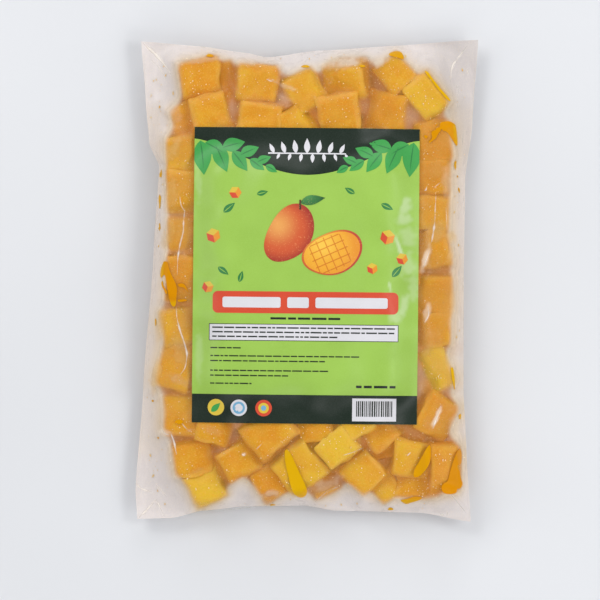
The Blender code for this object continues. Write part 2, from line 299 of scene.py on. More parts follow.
def mix_colour(tree: Tree, share, a, b) -> Socket:
    """The colour between a and b, each a socket or a plain value."""
    mix = add_node(tree, "ShaderNodeMix", {0: share, 6: a, 7: b}, data_type="RGBA", clamp_factor=True)
    return mix.outputs[2]


def combined(tree: Tree, operation: str, a, b, clamp: bool = False) -> Socket:
    """Two values taken together by a named sum, held between 0 and 1 if clamp is set."""
    return add_node(tree, "ShaderNodeMath", {0: a, 1: b}, operation=operation, use_clamp=clamp).outputs[0]


def scaled(tree: Tree, value, low: float, high: float, out_low: float, out_high: float) -> Socket:
    """A value carried from one range to another, held at the ends."""
    inputs = {"Value": value, "From Min": low, "From Max": high, "To Min": out_low, "To Max": out_high}
    return add_node(tree, "ShaderNodeMapRange", inputs).outputs["Result"]


def attribute(tree: Tree, name: str) -> bpy.types.Node:
    """A node that reads a named value of the mesh's points."""
    return add_node(tree, "ShaderNodeAttribute", attribute_name=name)


def object_place(tree: Tree) -> Socket:
    """Places in the object's own coordinates, in metres."""
    return add_node(tree, "ShaderNodeTexCoord").outputs["Object"]


def stretched(tree: Tree, where, scale: tuple[float, float, float]) -> Socket:
    """Places scaled axis by axis: a pattern on them is drawn out along the axes whose scale is under 1."""
    return add_node(tree, "ShaderNodeMapping", {"Vector": where, "Scale": scale}).outputs["Vector"]


def scaled_noise(tree: Tree, where, scale, detail: float, roughness: float) -> Socket:
    """Noise from 0 to 1 with about that many blobs to a unit."""
    inputs = {"Vector": where, "Scale": scale, "Detail": detail, "Roughness": roughness}
    return add_node(tree, "ShaderNodeTexNoise", inputs).outputs["Fac"]


def noise(tree: Tree, where, size_mm: float, detail: float = 2.0, roughness: float = 0.5) -> Socket:
    """Noise from 0 to 1 whose blobs are about that many millimetres across."""
    return scaled_noise(tree, where, 1.0 / (size_mm * METRES), detail, roughness)


def frost_group() -> Tree:
    """A node group for anything frozen: pale cloudy patches and tiny bright grains, and a height to bump.

    Returns:
        The group, with the inputs Colour, Frost Colour, Amount, Patch Scale and Grain Scale.
    """
    known = bpy.data.node_groups.get("Frozen Surface")
    if known:
        return known
    tree = bpy.data.node_groups.new("Frozen Surface", "ShaderNodeTree")
    for name, kind, value in (
        ("Colour", "NodeSocketColor", (0.8, 0.4, 0.05, 1.0)),
        ("Frost Colour", "NodeSocketColor", (0.9, 0.7, 0.4, 1.0)),
        ("Amount", "NodeSocketFloat", 0.5),
        ("Patch Scale", "NodeSocketFloat", 150.0),
        ("Grain Scale", "NodeSocketFloat", 1800.0),
    ):
        tree.interface.new_socket(name, in_out="INPUT", socket_type=kind).default_value = value
    for name, kind in (
        ("Colour", "NodeSocketColor"), ("Frost", "NodeSocketFloat"), ("Height", "NodeSocketFloat")
    ):
        tree.interface.new_socket(name, in_out="OUTPUT", socket_type=kind)
    given = add_node(tree, "NodeGroupInput").outputs
    where = object_place(tree)
    patch = scaled_noise(tree, where, given["Patch Scale"], 4.0, 0.6)
    grain = scaled_noise(tree, where, given["Grain Scale"], 1.0, 0.4)
    patches = combined(tree, "MULTIPLY", scaled(tree, patch, 0.42, 0.72, 0.0, 1.0), 0.45)
    both = combined(tree, "MAXIMUM", patches, scaled(tree, grain, 0.52, 0.68, 0.0, 1.0))
    frost = combined(tree, "MULTIPLY", both, given["Amount"], clamp=True)
    colour = mix_colour(tree, frost, given["Colour"], given["Frost Colour"])
    height = combined(tree, "ADD", grain, patch)
    add_node(tree, "NodeGroupOutput", {"Colour": colour, "Frost": frost, "Height": height})
    return tree


def new_material(name: str) -> tuple[bpy.types.Material, Tree, bpy.types.Node]:
    """A material with a Principled shader.

    Returns:
        The material, its tree and its shader.
    """
    material = bpy.data.materials.new(name)
    material.use_nodes = True
    return material, material.node_tree, material.node_tree.nodes["Principled BSDF"]


def bumped(tree: Tree, height, strength: float, depth_mm: float) -> Socket:
    """A normal tilted by a height, of that many millimetres from 0 to 1."""
    inputs = {"Height": height, "Strength": strength, "Distance": depth_mm * METRES}
    return add_node(tree, "ShaderNodeBump", inputs).outputs["Normal"]


# ---------------------------------------------------------------- finishes


@dataclass(frozen=True)
class FruitFinish:
    """Frozen mango flesh: orange to yellow by the chunk and through it, with fibres, frost, and pale edges
    that are partly frost and partly a painted rim highlight.
    """

    orange: Colour = (0.71, 0.292, 0.005, 1.0)
    yellow: Colour = (0.78, 0.51, 0.024, 1.0)
    deep: Colour = (0.60, 0.180, 0.004, 1.0)
    frost: Colour = (0.85, 0.54, 0.10, 1.0)
    cloud_mm: float = 13.0
    cloud_share: float = 0.28
    fibre_scale: float = 17.0
    fibre_stretch: float = 0.14
    fibre_share: float = 0.2
    edge_frost_and_highlight_share: float = 0.36
    frost_amount: float = 0.38
    patch_scale: float = 130.0
    grain_scale: float = 1150.0
    roughness: float = 0.42
    frosted_roughness: float = 0.7
    bump: float = 0.25
    bump_mm: float = 0.5
    scatter: float = 0.2
    scatter_radius: tuple[float, float, float] = (1.0, 0.42, 0.12)
    scatter_scale: float = 0.0009
    gloss: float = 0.35

    def material(self) -> bpy.types.Material:
        """Builds the material, which reads the points' ripeness, edge and grain."""
        material, tree, shader = new_material("mango_flesh")
        where = object_place(tree)
        ripeness = attribute(tree, "ripeness").outputs["Fac"]
        edge = attribute(tree, "edge").outputs["Fac"]
        grain = attribute(tree, "grain").outputs["Vector"]
        along_fibre = stretched(tree, grain, (1.0, 1.0, self.fibre_stretch))
        fibre = scaled_noise(tree, along_fibre, self.fibre_scale, 3.0, 0.6)
        cloud = noise(tree, where, self.cloud_mm, 3.0)
        cloud = scaled(tree, cloud, 0.3, 0.7, -self.cloud_share, self.cloud_share)
        flesh = mix_colour(tree, combined(tree, "ADD", cloud, ripeness), self.orange, self.yellow)
        flesh = mix_colour(tree, scaled(tree, fibre, 0.5, 0.75, 0.0, self.fibre_share), flesh, self.deep)
        # Pale edges: partly frost, partly a painted rim highlight
        flesh = mix_colour(tree, scaled(tree, edge, 0.35, 1.0, 0.0, self.edge_frost_and_highlight_share), flesh, self.frost)
        frozen = {
            "Colour": flesh,
            "Frost Colour": self.frost,
            "Amount": self.frost_amount,
            "Patch Scale": self.patch_scale,
            "Grain Scale": self.grain_scale,
        }
        group = add_node(tree, "ShaderNodeGroup", frozen, node_tree=frost_group()).outputs
        set_inputs(tree, shader, {
            "Base Color": group["Colour"],
            "Roughness": scaled(tree, group["Frost"], 0.0, 0.5, self.roughness, self.frosted_roughness),
            "Normal": bumped(tree, group["Height"], self.bump, self.bump_mm),
            "Subsurface Weight": self.scatter,
            "Subsurface Radius": self.scatter_radius,
            "Subsurface Scale": self.scatter_scale,
            "Specular IOR Level": self.gloss,
        })
        return material


@dataclass(frozen=True)
class FilmFinish:
    """Clear film with a milky haze, thinnest where it lies on wet fruit, which takes the fruit's colour."""

    name: str = "clear_film"
    roughness: float = 0.28
    ior: float = 1.34
    wrinkle_mm: float = 0.12
    speck: Colour = (0.95, 0.82, 0.46, 1.0)
    speck_share: float = 0.26
    wrinkle_bump: float = 0.6

    def material(self) -> bpy.types.Material:
        """Builds the material, which reads the points' glow and haze."""
        material, tree, shader = new_material(self.name)
        where = object_place(tree)
        # The glow holds the colour under the film, with painted shade in gaps and hollows, painted glare and
        # shade patches, and painted highlights on creases
        glow = attribute(tree, "glow").outputs["Color"]
        haze = attribute(tree, "haze").outputs["Fac"]
        cloud = noise(tree, stretched(tree, where, (1.0, 0.3, 1.0)), 8.0, 4.0, 0.55)
        speck = noise(tree, where, 0.9, 2.0, 0.7)
        crinkle = noise(tree, stretched(tree, where, (1.0, 0.45, 1.0)), 5.5, 2.0, 0.45)
        cloudy = combined(tree, "MULTIPLY", haze, scaled(tree, cloud, 0.3, 0.7, 0.94, 1.06))
        grainy = scaled(tree, speck, 0.3, 0.75, 0.97, 1.05)
        specks = scaled(tree, speck, 0.56, 0.76, 0.0, self.speck_share)
        set_inputs(tree, shader, {
            "Alpha": combined(tree, "MULTIPLY", cloudy, grainy, clamp=True),
            "Base Color": mix_colour(tree, specks, glow, self.speck),
            "Roughness": scaled(tree, cloud, 0.3, 0.7, self.roughness - 0.06, self.roughness + 0.1),
            "Normal": bumped(tree, crinkle, self.wrinkle_bump, self.wrinkle_mm),
            "IOR": self.ior,
        })
        return material


def print_roughness(tree: Tree, mottled, roughness: float) -> Socket:
    """A print's roughness, a little uneven with its mottling."""
    return scaled(tree, mottled, 0.3, 0.7, roughness - 0.05, roughness + 0.07)


@dataclass(frozen=True)
class PrintFinish:
    """A semi-gloss printed label or one ink on it, with faint mottling and a soft unevenness."""

    name: str
    colour: Colour
    roughness: float = 0.38
    mottle: float = 0.04
    gloss: float = 0.32
    shines: bool = False

    def material(self) -> bpy.types.Material:
        """Builds the material, which reads the points' shine where the ink has any."""
        material, tree, shader = new_material(self.name)
        where = object_place(tree)
        mottled, fine = noise(tree, where, 22.0, 3.0), noise(tree, where, 0.7, 2.0)
        darker = tuple(c * (1.0 - 2.0 * self.mottle) for c in self.colour[:3]) + (1.0,)
        paler = tuple(min(c + self.mottle * 0.6, 1.0) for c in self.colour[:3]) + (1.0,)
        ink = mix_colour(tree, scaled(tree, mottled, 0.3, 0.7, 0.0, 1.0), darker, self.colour)
        ink = mix_colour(tree, scaled(tree, fine, 0.4, 0.8, 0.0, 0.5), ink, paler)
        if self.shines:
            shine = attribute(tree, "shine").outputs["Fac"]
            ink = mix_colour(tree, shine, ink, (*CloudTone.SHINE.value, 1.0))
        set_inputs(tree, shader, {
            "Base Color": ink,
            "Roughness": print_roughness(tree, mottled, self.roughness),
            "Normal": bumped(tree, noise(tree, where, 6.0, 3.0), 0.25, 0.12),
            "Specular IOR Level": self.gloss,
        })
        return material


@dataclass(frozen=True)
class ShadedPrintFinish:
    """Ink whose colour runs from one tone to another over a motif, as on a painted fruit."""

    name: str = "ink_fruit"
    roughness: float = 0.34
    dots: Colour = (0.95, 0.55, 0.2, 1.0)
    dot_share: float = 0.35

    def material(self) -> bpy.types.Material:
        """Builds the material, which reads the points' tone."""
        material, tree, shader = new_material(self.name)
        where = object_place(tree)
        tone = attribute(tree, "tone").outputs["Color"]
        dots = scaled(tree, noise(tree, where, 0.8, 2.0), 0.6, 0.75, 0.0, self.dot_share)
        set_inputs(tree, shader, {
            "Base Color": mix_colour(tree, dots, tone, self.dots),
            "Roughness": print_roughness(tree, noise(tree, where, 22.0, 3.0), self.roughness),
        })
        return material


@dataclass(frozen=True)
class WetFinish:
    """A thin wet thing at the film: juice pressed flat, or a bead of frost or air."""

    name: str
    colour: Colour
    other: Colour
    roughness: float = 0.3
    gloss: float = 0.08
    ripens: bool = False

    def material(self) -> bpy.types.Material:
        """Builds the material, whose two colours are mixed by the points' ripeness or else by clouds."""
        material, tree, shader = new_material(self.name)
        pool = noise(tree, object_place(tree), 5.0, 3.0)
        clouds = scaled(tree, pool, 0.35, 0.65, 0.0, 1.0)
        share = attribute(tree, "ripeness").outputs["Fac"] if self.ripens else clouds
        set_inputs(tree, shader, {
            "Base Color": mix_colour(tree, share, self.colour, self.other),
            "Roughness": scaled(tree, pool, 0.3, 0.7, self.roughness, self.roughness + 0.15),
            "Specular IOR Level": self.gloss,
        })
        return material


class Juice(Enum):
    """Finishes of the juice and the beads."""

    POOL = WetFinish("juice", (0.66, 0.25, 0.0, 1.0), (0.70, 0.395, 0.002, 1.0), ripens=True)
    DROP = WetFinish("juice_thin", (0.70, 0.44, 0.12, 1.0), (0.74, 0.56, 0.28, 1.0))
    BEAD = WetFinish("frost_bead", (0.93, 0.70, 0.32, 1.0), (0.97, 0.86, 0.60, 1.0), 0.1, 0.5)


class Ink(Enum):
    """The label's inks."""

    FIELD = PrintFinish("ink_light_green", (0.335, 0.560, 0.085, 1.0), shines=True)
    HEAD = PrintFinish("ink_dark_green", (0.008, 0.019, 0.010, 1.0))
    LEAF = PrintFinish("ink_leaf_green", (0.052, 0.352, 0.075, 1.0))
    VEIN = PrintFinish("ink_vein_green", (0.030, 0.215, 0.055, 1.0))
    RED = PrintFinish("ink_red", (0.665, 0.072, 0.030, 1.0))
    YELLOW = PrintFinish("ink_yellow", (0.72, 0.52, 0.055, 1.0))
    ORANGE = PrintFinish("ink_orange", (0.80, 0.30, 0.03, 1.0))
    WHITE = PrintFinish("ink_white", (0.72, 0.71, 0.74, 1.0))
    BLUE = PrintFinish("ink_blue", (0.18, 0.42, 0.62, 1.0))
    BLACK = PrintFinish("ink_black", (0.012, 0.018, 0.012, 1.0))


# ---------------------------------------------------------------- the chunks


class Placed(NamedTuple):
    """A chunk: its middle, sides and turn in plan, how low it sits, its lean and its ripeness."""

    x: float
    y: float
    wide: float
    long: float
    turn: float
    sunk: float = 0.0
    lean: float = 0.0
    ripeness: float = 0.2


ABOVE_LABEL = (
    Placed(-64, 122, 25, 24, 10, 0.5, 0, 0.14),
    Placed(-53, 120.5, 20, 24, 6, 6.0, 0, 0.02),
    Placed(-29, 118.5, 24, 23, -4, 1.0, 0, 0.24),
    Placed(-1, 114.5, 20.5, 23.5, 28, 0.5, -5, 0.62),
    Placed(25, 121, 24, 22, 8, 1.5, 12, 0.42),
    Placed(53, 125, 19.5, 20.5, 40, 0.5, 0, 0.32),
    Placed(73, 111.5, 26, 19.5, -51, 0.0, 0, 0.66),
    Placed(-72.5, 97, 17, 20, 25, 1.0, 0, 0.08),
    Placed(-57, 99, 22, 24, 14, 0.5, 0, 0.22),
    Placed(-28, 95, 26, 23, -9, 2.5, 0, 0.16),
    Placed(-6.5, 92.5, 21, 22, 38, 3.0, 0, 0.12),
    Placed(20, 99, 25, 25, 9, 1.0, 0, 0.22),
    Placed(48.5, 101, 22.5, 23, -8, 5.0, 0, 0.1),
)
RIGHT_OF_LABEL = (
    Placed(77, 84, 24, 23, 6, 0.5, 0, 0.14),
    Placed(76, 62, 23, 21, 0, 2.0, 0, 0.18),
    Placed(76.5, 41, 21.5, 20, -2, 1.0, 0, 0.24),
    Placed(76, 19, 22, 23, 10, 2.0, 10, 0.3),
    Placed(78, -7.5, 22.5, 22, 0, 0.5, 0, 0.18),
    Placed(77, -29, 23, 19.5, 1, 1.0, 0, 0.24),
    Placed(79, -51.5, 17, 26.5, 25, 0.5, 0, 0.98),
    Placed(77, -80.5, 21.5, 25.5, -28, 1.0, 10, 0.08),
)
LEFT_OF_LABEL = (
    Placed(-74, 76.5, 21, 22, 2, 1.0, 0, 0.48),
    Placed(-74, 54, 20.5, 25, 2, 1.5, 0, 0.44),
    Placed(-73.5, 28.5, 20, 19, 1, 2.0, 0, 0.28),
    Placed(-75, 2, 21, 28, -3, 0.5, 0, 0.1),
    Placed(-77, -27, 21.5, 22, 13, 1.5, 0, 0.5),
    Placed(-78.5, -52.5, 22, 25, -15, 1.0, 0, 0.28),
    Placed(-76, -81, 22, 23.5, 0, 0.5, 0, 0.22),
)
BELOW_LABEL = (
    Placed(-55, -88, 20, 19, -15, 4.0, 0, 0.1),
    Placed(-23, -90, 27, 25, 40, 0.5, 0, 0.24),
    Placed(5, -86, 20, 20, 10, 4.0, 0, 0.12),
    Placed(31, -84, 18, 18, 30, 3.0, 0, 0.6),
    Placed(43.5, -90, 19, 19, 40, 5.0, 0, 0.1),
    Placed(-68.5, -106, 25.5, 21, 8, 0.5, 0, 0.12),
    Placed(-41, -108, 21, 20, 30, 0.5, 0, 0.16),
    Placed(-4, -111, 26, 26, 37, 0.0, 3, 0.62),
    Placed(18.5, -99.5, 22.5, 18.5, 38, 0.0, 0, 0.9),
    Placed(62.5, -105.5, 22, 21, -9, 0.0, 8, 0.3),
    Placed(82.5, -112, 19.5, 30, 0, 1.5, 12, 0.08),
    Placed(34, -114, 21.5, 22, 44, 0.5, 0, 0.36),
    Placed(-60, -123, 22.5, 23, 24, 0.0, 0, 0.94),
    Placed(-22, -121, 18.5, 20.5, 32, 1.0, 0, 0.12),
    Placed(48, -123.5, 15.5, 16.5, 35, 2.0, 0, 0.5),
    Placed(67, -122.5, 24, 17.5, -3, 1.0, 0, 0.16),
    Placed(11, -123, 18, 13, 25, 8.0, 0, 0.1),
)


class Boxes(NamedTuple):
    """Chunks as turned boxes: middles, half sizes, axes in columns, ripeness, and how many lie on top."""

    middles: Array
    halves: Array
    axes: Array
    ripeness: Array
    upper: int


@dataclass
class Fill:
    """The bag's load of chunks: two layers in the middle and one at the sides, under a squarish dome."""

    pack_height: float = 45.0
    one_layer: float = 23.0
    half_width: float = 87.0
    half_length: float = 135.0
    squareness: float = 2.8
    shoulder: float = 2.5
    chunk_size: float = 24.0
    chunk_depth: float = 23.0
    low_share: float = 0.92
    two_layers: float = 32.0
    rounding: float = 4.0
    pitch: float = 26.0
    jitter: float = 2.2
    turn: float = 35.0
    sunk: float = 3.0
    rest_tilt: float = 7.0
    longest: float = 1.06
    shortest: float = 0.92
    clearance: float = 0.4
    skirt_slope: float = 1.9
    skirt_reach: float = 9.0
    box_reach: float = 34.0
    gap_pitch: float = 7.0
    gap_jitter: float = 2.5
    gap_overlap: float = 6.0
    gap_smallest: tuple[float, float, float] = (4.5, 4.5, 3.5)
    gap_largest: tuple[float, float, float] = (7.0, 7.0, 5.0)
    gap_depths: tuple[float, float] = (5.0, 8.5)
    gap_lowest: float = 8.0
    seed: int = 20
    under_label: Area = ((0.0, 3.0), (52.0, 66.0))
    lower_layer: Area = ((0.0, 0.0), (68.0, 108.0))

    def top(self, x: float, y: float) -> float:
        """Height of the upper chunks' tops: one layer, and the rest times 1 minus the radius to a power."""
        across = np.abs(x / self.half_width) ** self.squareness
        along = np.abs(y / self.half_length) ** self.squareness
        radius = np.clip((across + along) ** (1.0 / self.squareness), 0.0, 1.0)
        return self.one_layer + (self.pack_height - self.one_layer) * (1.0 - radius**self.shoulder)

    def laid_out(self, area: Area, chance: np.random.Generator) -> list[Placed]:
        """Chunks in jittered rows that fill a rectangle.

        Args:
            area: The rectangle's middle and half sizes.
            chance: Draws the jitter, sizes and turns.

        Returns:
            The chunks' places.
        """
        middle, half = area
        made = []
        for row in np.arange(-half[1] + self.pitch / 2, half[1], self.pitch):
            for column in np.arange(-half[0] + self.pitch / 2, half[0], self.pitch):
                x, y = np.array(middle) + (column, row) + chance.uniform(-self.jitter, self.jitter, 2)
                wide, long = self.chunk_size * chance.uniform(self.shortest, self.longest, 2)
                turn, sunk = chance.uniform(-self.turn, self.turn), chance.uniform(0.0, self.sunk)
                made.append(Placed(x, y, wide, long, turn, sunk))
        return made

    @staticmethod
    def turned(turn: float, lean: float, towards: float) -> Array:
        """Axes of a chunk in columns: turned about Z, then leaned in the direction towards. In degrees."""
        turn, lean, towards = np.radians([turn, lean, towards])
        cos, sin = np.cos(turn), np.sin(turn)
        about_z = np.array([[cos, -sin, 0.0], [sin, cos, 0.0], [0.0, 0.0, 1.0]])
        hinge = np.array([-np.sin(towards), np.cos(towards), 0.0])
        cross = np.array([[0, -hinge[2], hinge[1]], [hinge[2], 0, -hinge[0]], [-hinge[1], hinge[0], 0]])
        return (np.eye(3) + np.sin(lean) * cross + (1.0 - np.cos(lean)) * cross @ cross) @ about_z

    def boxes(self) -> Boxes:
        """All chunks: the upper layer follows the dome, and the lower one rests on the table."""
        chance = np.random.default_rng(self.seed)
        upper = [*ABOVE_LABEL, *RIGHT_OF_LABEL, *LEFT_OF_LABEL, *BELOW_LABEL]
        upper += self.laid_out(self.under_label, chance)
        lower = self.laid_out(self.lower_layer, chance)
        lower = [place for place in lower if self.top(place.x, place.y) > self.two_layers]
        middles, halves, axes = [], [], []
        for place in upper + lower:
            depth = self.chunk_depth * chance.uniform(self.shortest, self.longest)
            towards = chance.uniform(0.0, 360.0)
            lean = place.lean + chance.uniform(0.0, self.rest_tilt)
            resting = len(middles) >= len(upper)
            frame = self.turned(place.turn, 0.0 if resting else lean, towards)
            room = self.top(place.x, place.y) - place.sunk
            depth = depth if resting else min(depth, self.low_share * room)
            half = np.array([place.wide, place.long, depth]) / 2
            reach = np.abs(frame[2]) @ half
            top = reach * 2 if resting else room
            middles.append([place.x, place.y, max(top - reach, reach + self.clearance)])
            halves.append(half)
            axes.append(frame)
        ripeness = np.array([place.ripeness for place in upper + lower])
        ripeness[len(upper):] = np.random.default_rng(self.seed + 1).uniform(0.05, 0.75, len(lower)) ** 1.6
        return Boxes(np.array(middles), np.array(halves), np.array(axes), ripeness, len(upper))

    def between(self, film: Film) -> Boxes:
        """Smaller pieces in the gaps that show between chunks: fruit lies all round them but none is there.

        Args:
            film: The film that is drawn over the chunks.

        Returns:
            The pieces, each a few millimetres under the film.
        """
        chance = np.random.default_rng(self.seed + 2)
        columns, rows = np.arange(-88.0, 89.0, self.gap_pitch), np.arange(-132.0, 133.0, self.gap_pitch)
        x, y = (places.ravel() for places in np.meshgrid(columns, rows))
        x = x + chance.uniform(-self.gap_jitter, self.gap_jitter, x.shape)
        y = y + chance.uniform(-self.gap_jitter, self.gap_jitter, y.shape)
        covered, heap = (film.sampled(film.maps[name], x, y) for name in ("covered", "heap"))
        shown = (covered < 0.25) & (heap > 0.9) & film.beyond_label(x, y, -self.gap_overlap)
        x, y = x[shown], y[shown]
        count = len(x)
        halves = chance.uniform(self.gap_smallest, self.gap_largest, (count, 3))
        depth = chance.uniform(*self.gap_depths, count)
        top = np.maximum(film.sampled(film.upper, x, y) - depth, self.gap_lowest)
        angles = chance.uniform((0.0, 0.0, 0.0), (90.0, 12.0, 360.0), (count, 3))
        axes = np.array([self.turned(*each) for each in angles]).reshape(-1, 3, 3)
        middles = np.stack([x, y, top - halves[:, 2]], axis=-1)
        return Boxes(middles, halves, axes, chance.uniform(0.0, 0.35, count), count)

    def rounded_off(self, to_faces: Array) -> Array:
        """How far a rounded edge lies inside a box's sharp one, from a point's distances to the faces."""
        nearness = np.sort(np.maximum(self.rounding - to_faces, 0.0), axis=-1)[..., :2]
        return self.rounding - np.sqrt(np.maximum(self.rounding**2 - (nearness**2).sum(-1), 0.0))

    def surfaces(self, boxes: Boxes, x: Array, y: Array) -> tuple[Array, Array, Array, Array]:
        """Highest and lowest chunk surface over each point, where a vertical line enters and leaves a box.

        Args:
            boxes: The chunks.
            x: Places across.
            y: Places along.

        Returns:
            The highest surface with a skirt that falls off round each chunk, the highest without it, the
            lowest, and the number of the chunk on top or -1.
        """
        skirted, highest = np.full(x.shape, -np.inf), np.full(x.shape, -np.inf)
        lowest, owner = np.full(x.shape, np.inf), np.full(x.shape, -1)
        for number, (middle, half, frame) in enumerate(zip(boxes.middles, boxes.halves, boxes.axes)):
            near = (np.abs(x - middle[0]) < self.box_reach) & (np.abs(y - middle[1]) < self.box_reach)
            dx, dy = x[near] - middle[0], y[near] - middle[1]
            aside = np.stack([dx, dy], axis=-1) @ frame[:2, :2]
            gap = np.linalg.norm(np.maximum(np.abs(aside) - half[:2], 0.0), axis=-1)
            skirt = middle[2] + np.abs(frame[2]) @ half - self.rounding / 2 - self.skirt_slope * gap
            beside = (gap > 0.0) & (gap < self.skirt_reach)
            skirted[near] = np.where(beside, np.maximum(skirted[near], skirt), skirted[near])
            steps = np.stack([dx, dy, np.full(dx.shape, -middle[2])], axis=-1) @ frame
            rise = np.where(np.abs(frame[2]) < 1e-9, 1e-9, frame[2])
            ends = np.sort(np.stack([(-half - steps) / rise, (half - steps) / rise]), axis=0)
            enters, leaves = ends[0].max(-1), ends[1].min(-1)
            hit = enters < leaves
            drops = [
                self.rounded_off(half - np.abs(steps + z[..., None] * frame[2])) for z in (leaves, enters)
            ]
            above = hit & (leaves - drops[0] > highest[near])
            highest[near] = np.where(above, leaves - drops[0], highest[near])
            owner[near] = np.where(above, number, owner[near])
            lowest[near] = np.where(hit, np.minimum(lowest[near], enters + drops[1]), lowest[near])
        return np.maximum(skirted, highest), highest, lowest, owner


# ---------------------------------------------------------------- the film


@dataclass
class Film:
    """The bag's skin: a sheet drawn tight over the chunks and one on the table, joined round the edge."""

    fill: Fill
    half_width: float = 98.0
    half_length: float = 141.0
    rim_height: float = 10.0
    rim_wave: float = 1.8
    rim_thickness: float = 0.3
    rim_slope: float = 2.1
    pull: float = -0.10
    table_pull: float = -0.05
    label_half_width: float = 68.0
    label_top: float = 92.5
    label_bottom: float = -86.0
    stiff_reach: float = 8.0
    stiff_blur: float = 5.0
    closed_gap: int = 7
    bare_rim: float = 5.0
    label_cells: tuple[int, int] = (36, 48)
    margin_cells: tuple[int, int, int] = (10, 14, 16)
    levels: tuple[tuple[int, int], ...] = ((1, 2500), (2, 700), (4, 350))
    left: tuple = (
        (-141, -101.5), (-125, -102.5), (-67, -98), (20, -91.5), (69, -88.3), (83, -94.2), (110, -96.5),
        (141, -99),
    )
    right: tuple = ((-141, 99), (-103, 96.5), (-65, 94.7), (0, 94.8), (61, 95.7), (94, 100), (141, 103.5))
    top: tuple = ((-98, 144), (-64, 141.2), (-38, 137.5), (-23, 134.5), (8, 138.6), (53, 141.4), (98, 145))
    bottom: tuple = (
        (-98, -143), (-80, -142.5), (-62, -138), (-36, -135.5), (-1, -135), (18, -138), (68, -139.2),
        (98, -144.6),
    )
    x: Array = field(init=False)
    y: Array = field(init=False)
    upper: Array = field(init=False)
    lower: Array = field(init=False)
    middle: Array = field(init=False)
    maps: dict[str, Array] = field(init=False, default_factory=dict)

    def lines(self, refine: int) -> tuple[Array, Array]:
        """The nominal grid lines, with refine cells for each of the coarsest ones.

        Args:
            refine: 1, 2 or 4.

        Returns:
            The columns' and the rows' places.
        """
        side, above, below = (refine * count for count in self.margin_cells)
        across, along = (refine * count for count in self.label_cells)
        columns = np.concatenate([
            np.linspace(-self.half_width, -self.label_half_width, side, endpoint=False),
            np.linspace(-self.label_half_width, self.label_half_width, across, endpoint=False),
            np.linspace(self.label_half_width, self.half_width, side + 1),
        ])
        rows = np.concatenate([
            np.linspace(-self.half_length, self.label_bottom, below, endpoint=False),
            np.linspace(self.label_bottom, self.label_top, along, endpoint=False),
            np.linspace(self.label_top, self.half_length, above + 1),
        ])
        return columns, rows

    def spread(self, u: Array, v: Array) -> tuple[Array, Array]:
        """How far each point of the nominal sheet moves so that its edges meet the bag's outline.

        The move grows evenly from the label's edge to the bag's.

        Args:
            u: Nominal places across.
            v: Nominal places along.

        Returns:
            The moves across and along.
        """
        left = np.clip((-self.label_half_width - u) / (self.half_width - self.label_half_width), 0.0, 1.0)
        right = np.clip((u - self.label_half_width) / (self.half_width - self.label_half_width), 0.0, 1.0)
        below = np.clip((self.label_bottom - v) / (self.label_bottom + self.half_length), 0.0, 1.0)
        above = np.clip((v - self.label_top) / (self.half_length - self.label_top), 0.0, 1.0)
        across = left * (along_edge(self.left, v) + self.half_width)
        across = across + right * (along_edge(self.right, v) - self.half_width)
        along = below * (along_edge(self.bottom, u) + self.half_length)
        along = along + above * (along_edge(self.top, u) - self.half_length)
        return across, along

    def plan(self, refine: int) -> tuple[Array, Array, Array]:
        """The sheet's grid in plan, and each point's distance from the bag's edge."""
        u, v = np.meshgrid(*self.lines(refine), indexing="ij")
        across, along = self.spread(u, v)
        from_edge = np.minimum(self.half_width - np.abs(u), self.half_length - np.abs(v))
        return u + across, v + along, from_edge

    def rim(self, x: Array, y: Array) -> Array:
        """Height of the bag's edge over the table: a sine times a cosine of the direction from the middle."""
        around = np.arctan2(y / self.half_length, x / self.half_width)
        return self.rim_height + self.rim_wave * np.sin(3.0 * around + 0.6) * np.cos(5.0 * around)

    @staticmethod
    def drawn_tight(
        height: Array, x: Array, y: Array, floor: Array, ceiling: Array, load: float, passes: int
    ) -> Array:
        """A film under even tension: each point moves to its neighbours' mean, weighted by nearness.

        Args:
            height: Starting heights, of which the outermost are held.
            x: Places across.
            y: Places along.
            floor: Lowest heights.
            ceiling: Highest heights.
            load: Added to each move, upwards.
            passes: How many times the points move.

        Returns:
            The settled heights.
        """
        across = 1.0 / np.maximum(np.diff(x, axis=0), 0.1) ** 2
        along = 1.0 / np.maximum(np.diff(y, axis=1), 0.1) ** 2
        west, east, south, north = across[:-1, 1:-1], across[1:, 1:-1], along[1:-1, :-1], along[1:-1, 1:]
        total = west + east + south + north
        inside = (slice(1, -1), slice(1, -1))
        for _ in range(passes):
            drawn = west * height[:-2, 1:-1] + east * height[2:, 1:-1]
            drawn += south * height[1:-1, :-2] + north * height[1:-1, 2:]
            height[inside] = np.clip((drawn + load) / total, floor[inside], ceiling[inside])
        return height

    def bridged(self, height: Array, cell: float) -> Array:
        """The stiff label's sheet: hollows narrower than its reach are closed, then edges are rounded off."""
        height = grown(height, max(1, round(self.stiff_reach / cell)))
        return blurred(height, round(4.0 * (self.stiff_blur / cell) ** 2))

    @staticmethod
    def finer(height: Array) -> Array:
        """The same sheet with a new line half way between every two."""
        wider = np.empty((2 * height.shape[0] - 1, height.shape[1]))
        wider[::2], wider[1::2] = height, (height[:-1] + height[1:]) / 2.0
        longer = np.empty((wider.shape[0], 2 * wider.shape[1] - 1))
        longer[:, ::2], longer[:, 1::2] = wider, (wider[:, :-1] + wider[:, 1:]) / 2.0
        return longer

    def under_label(self, refine: int) -> tuple[slice, slice]:
        """The grid's lines that lie under the label."""
        side, below = refine * self.margin_cells[0], refine * self.margin_cells[2]
        across, along = (refine * count for count in self.label_cells)
        return slice(side, side + across + 1), slice(below, below + along + 1)

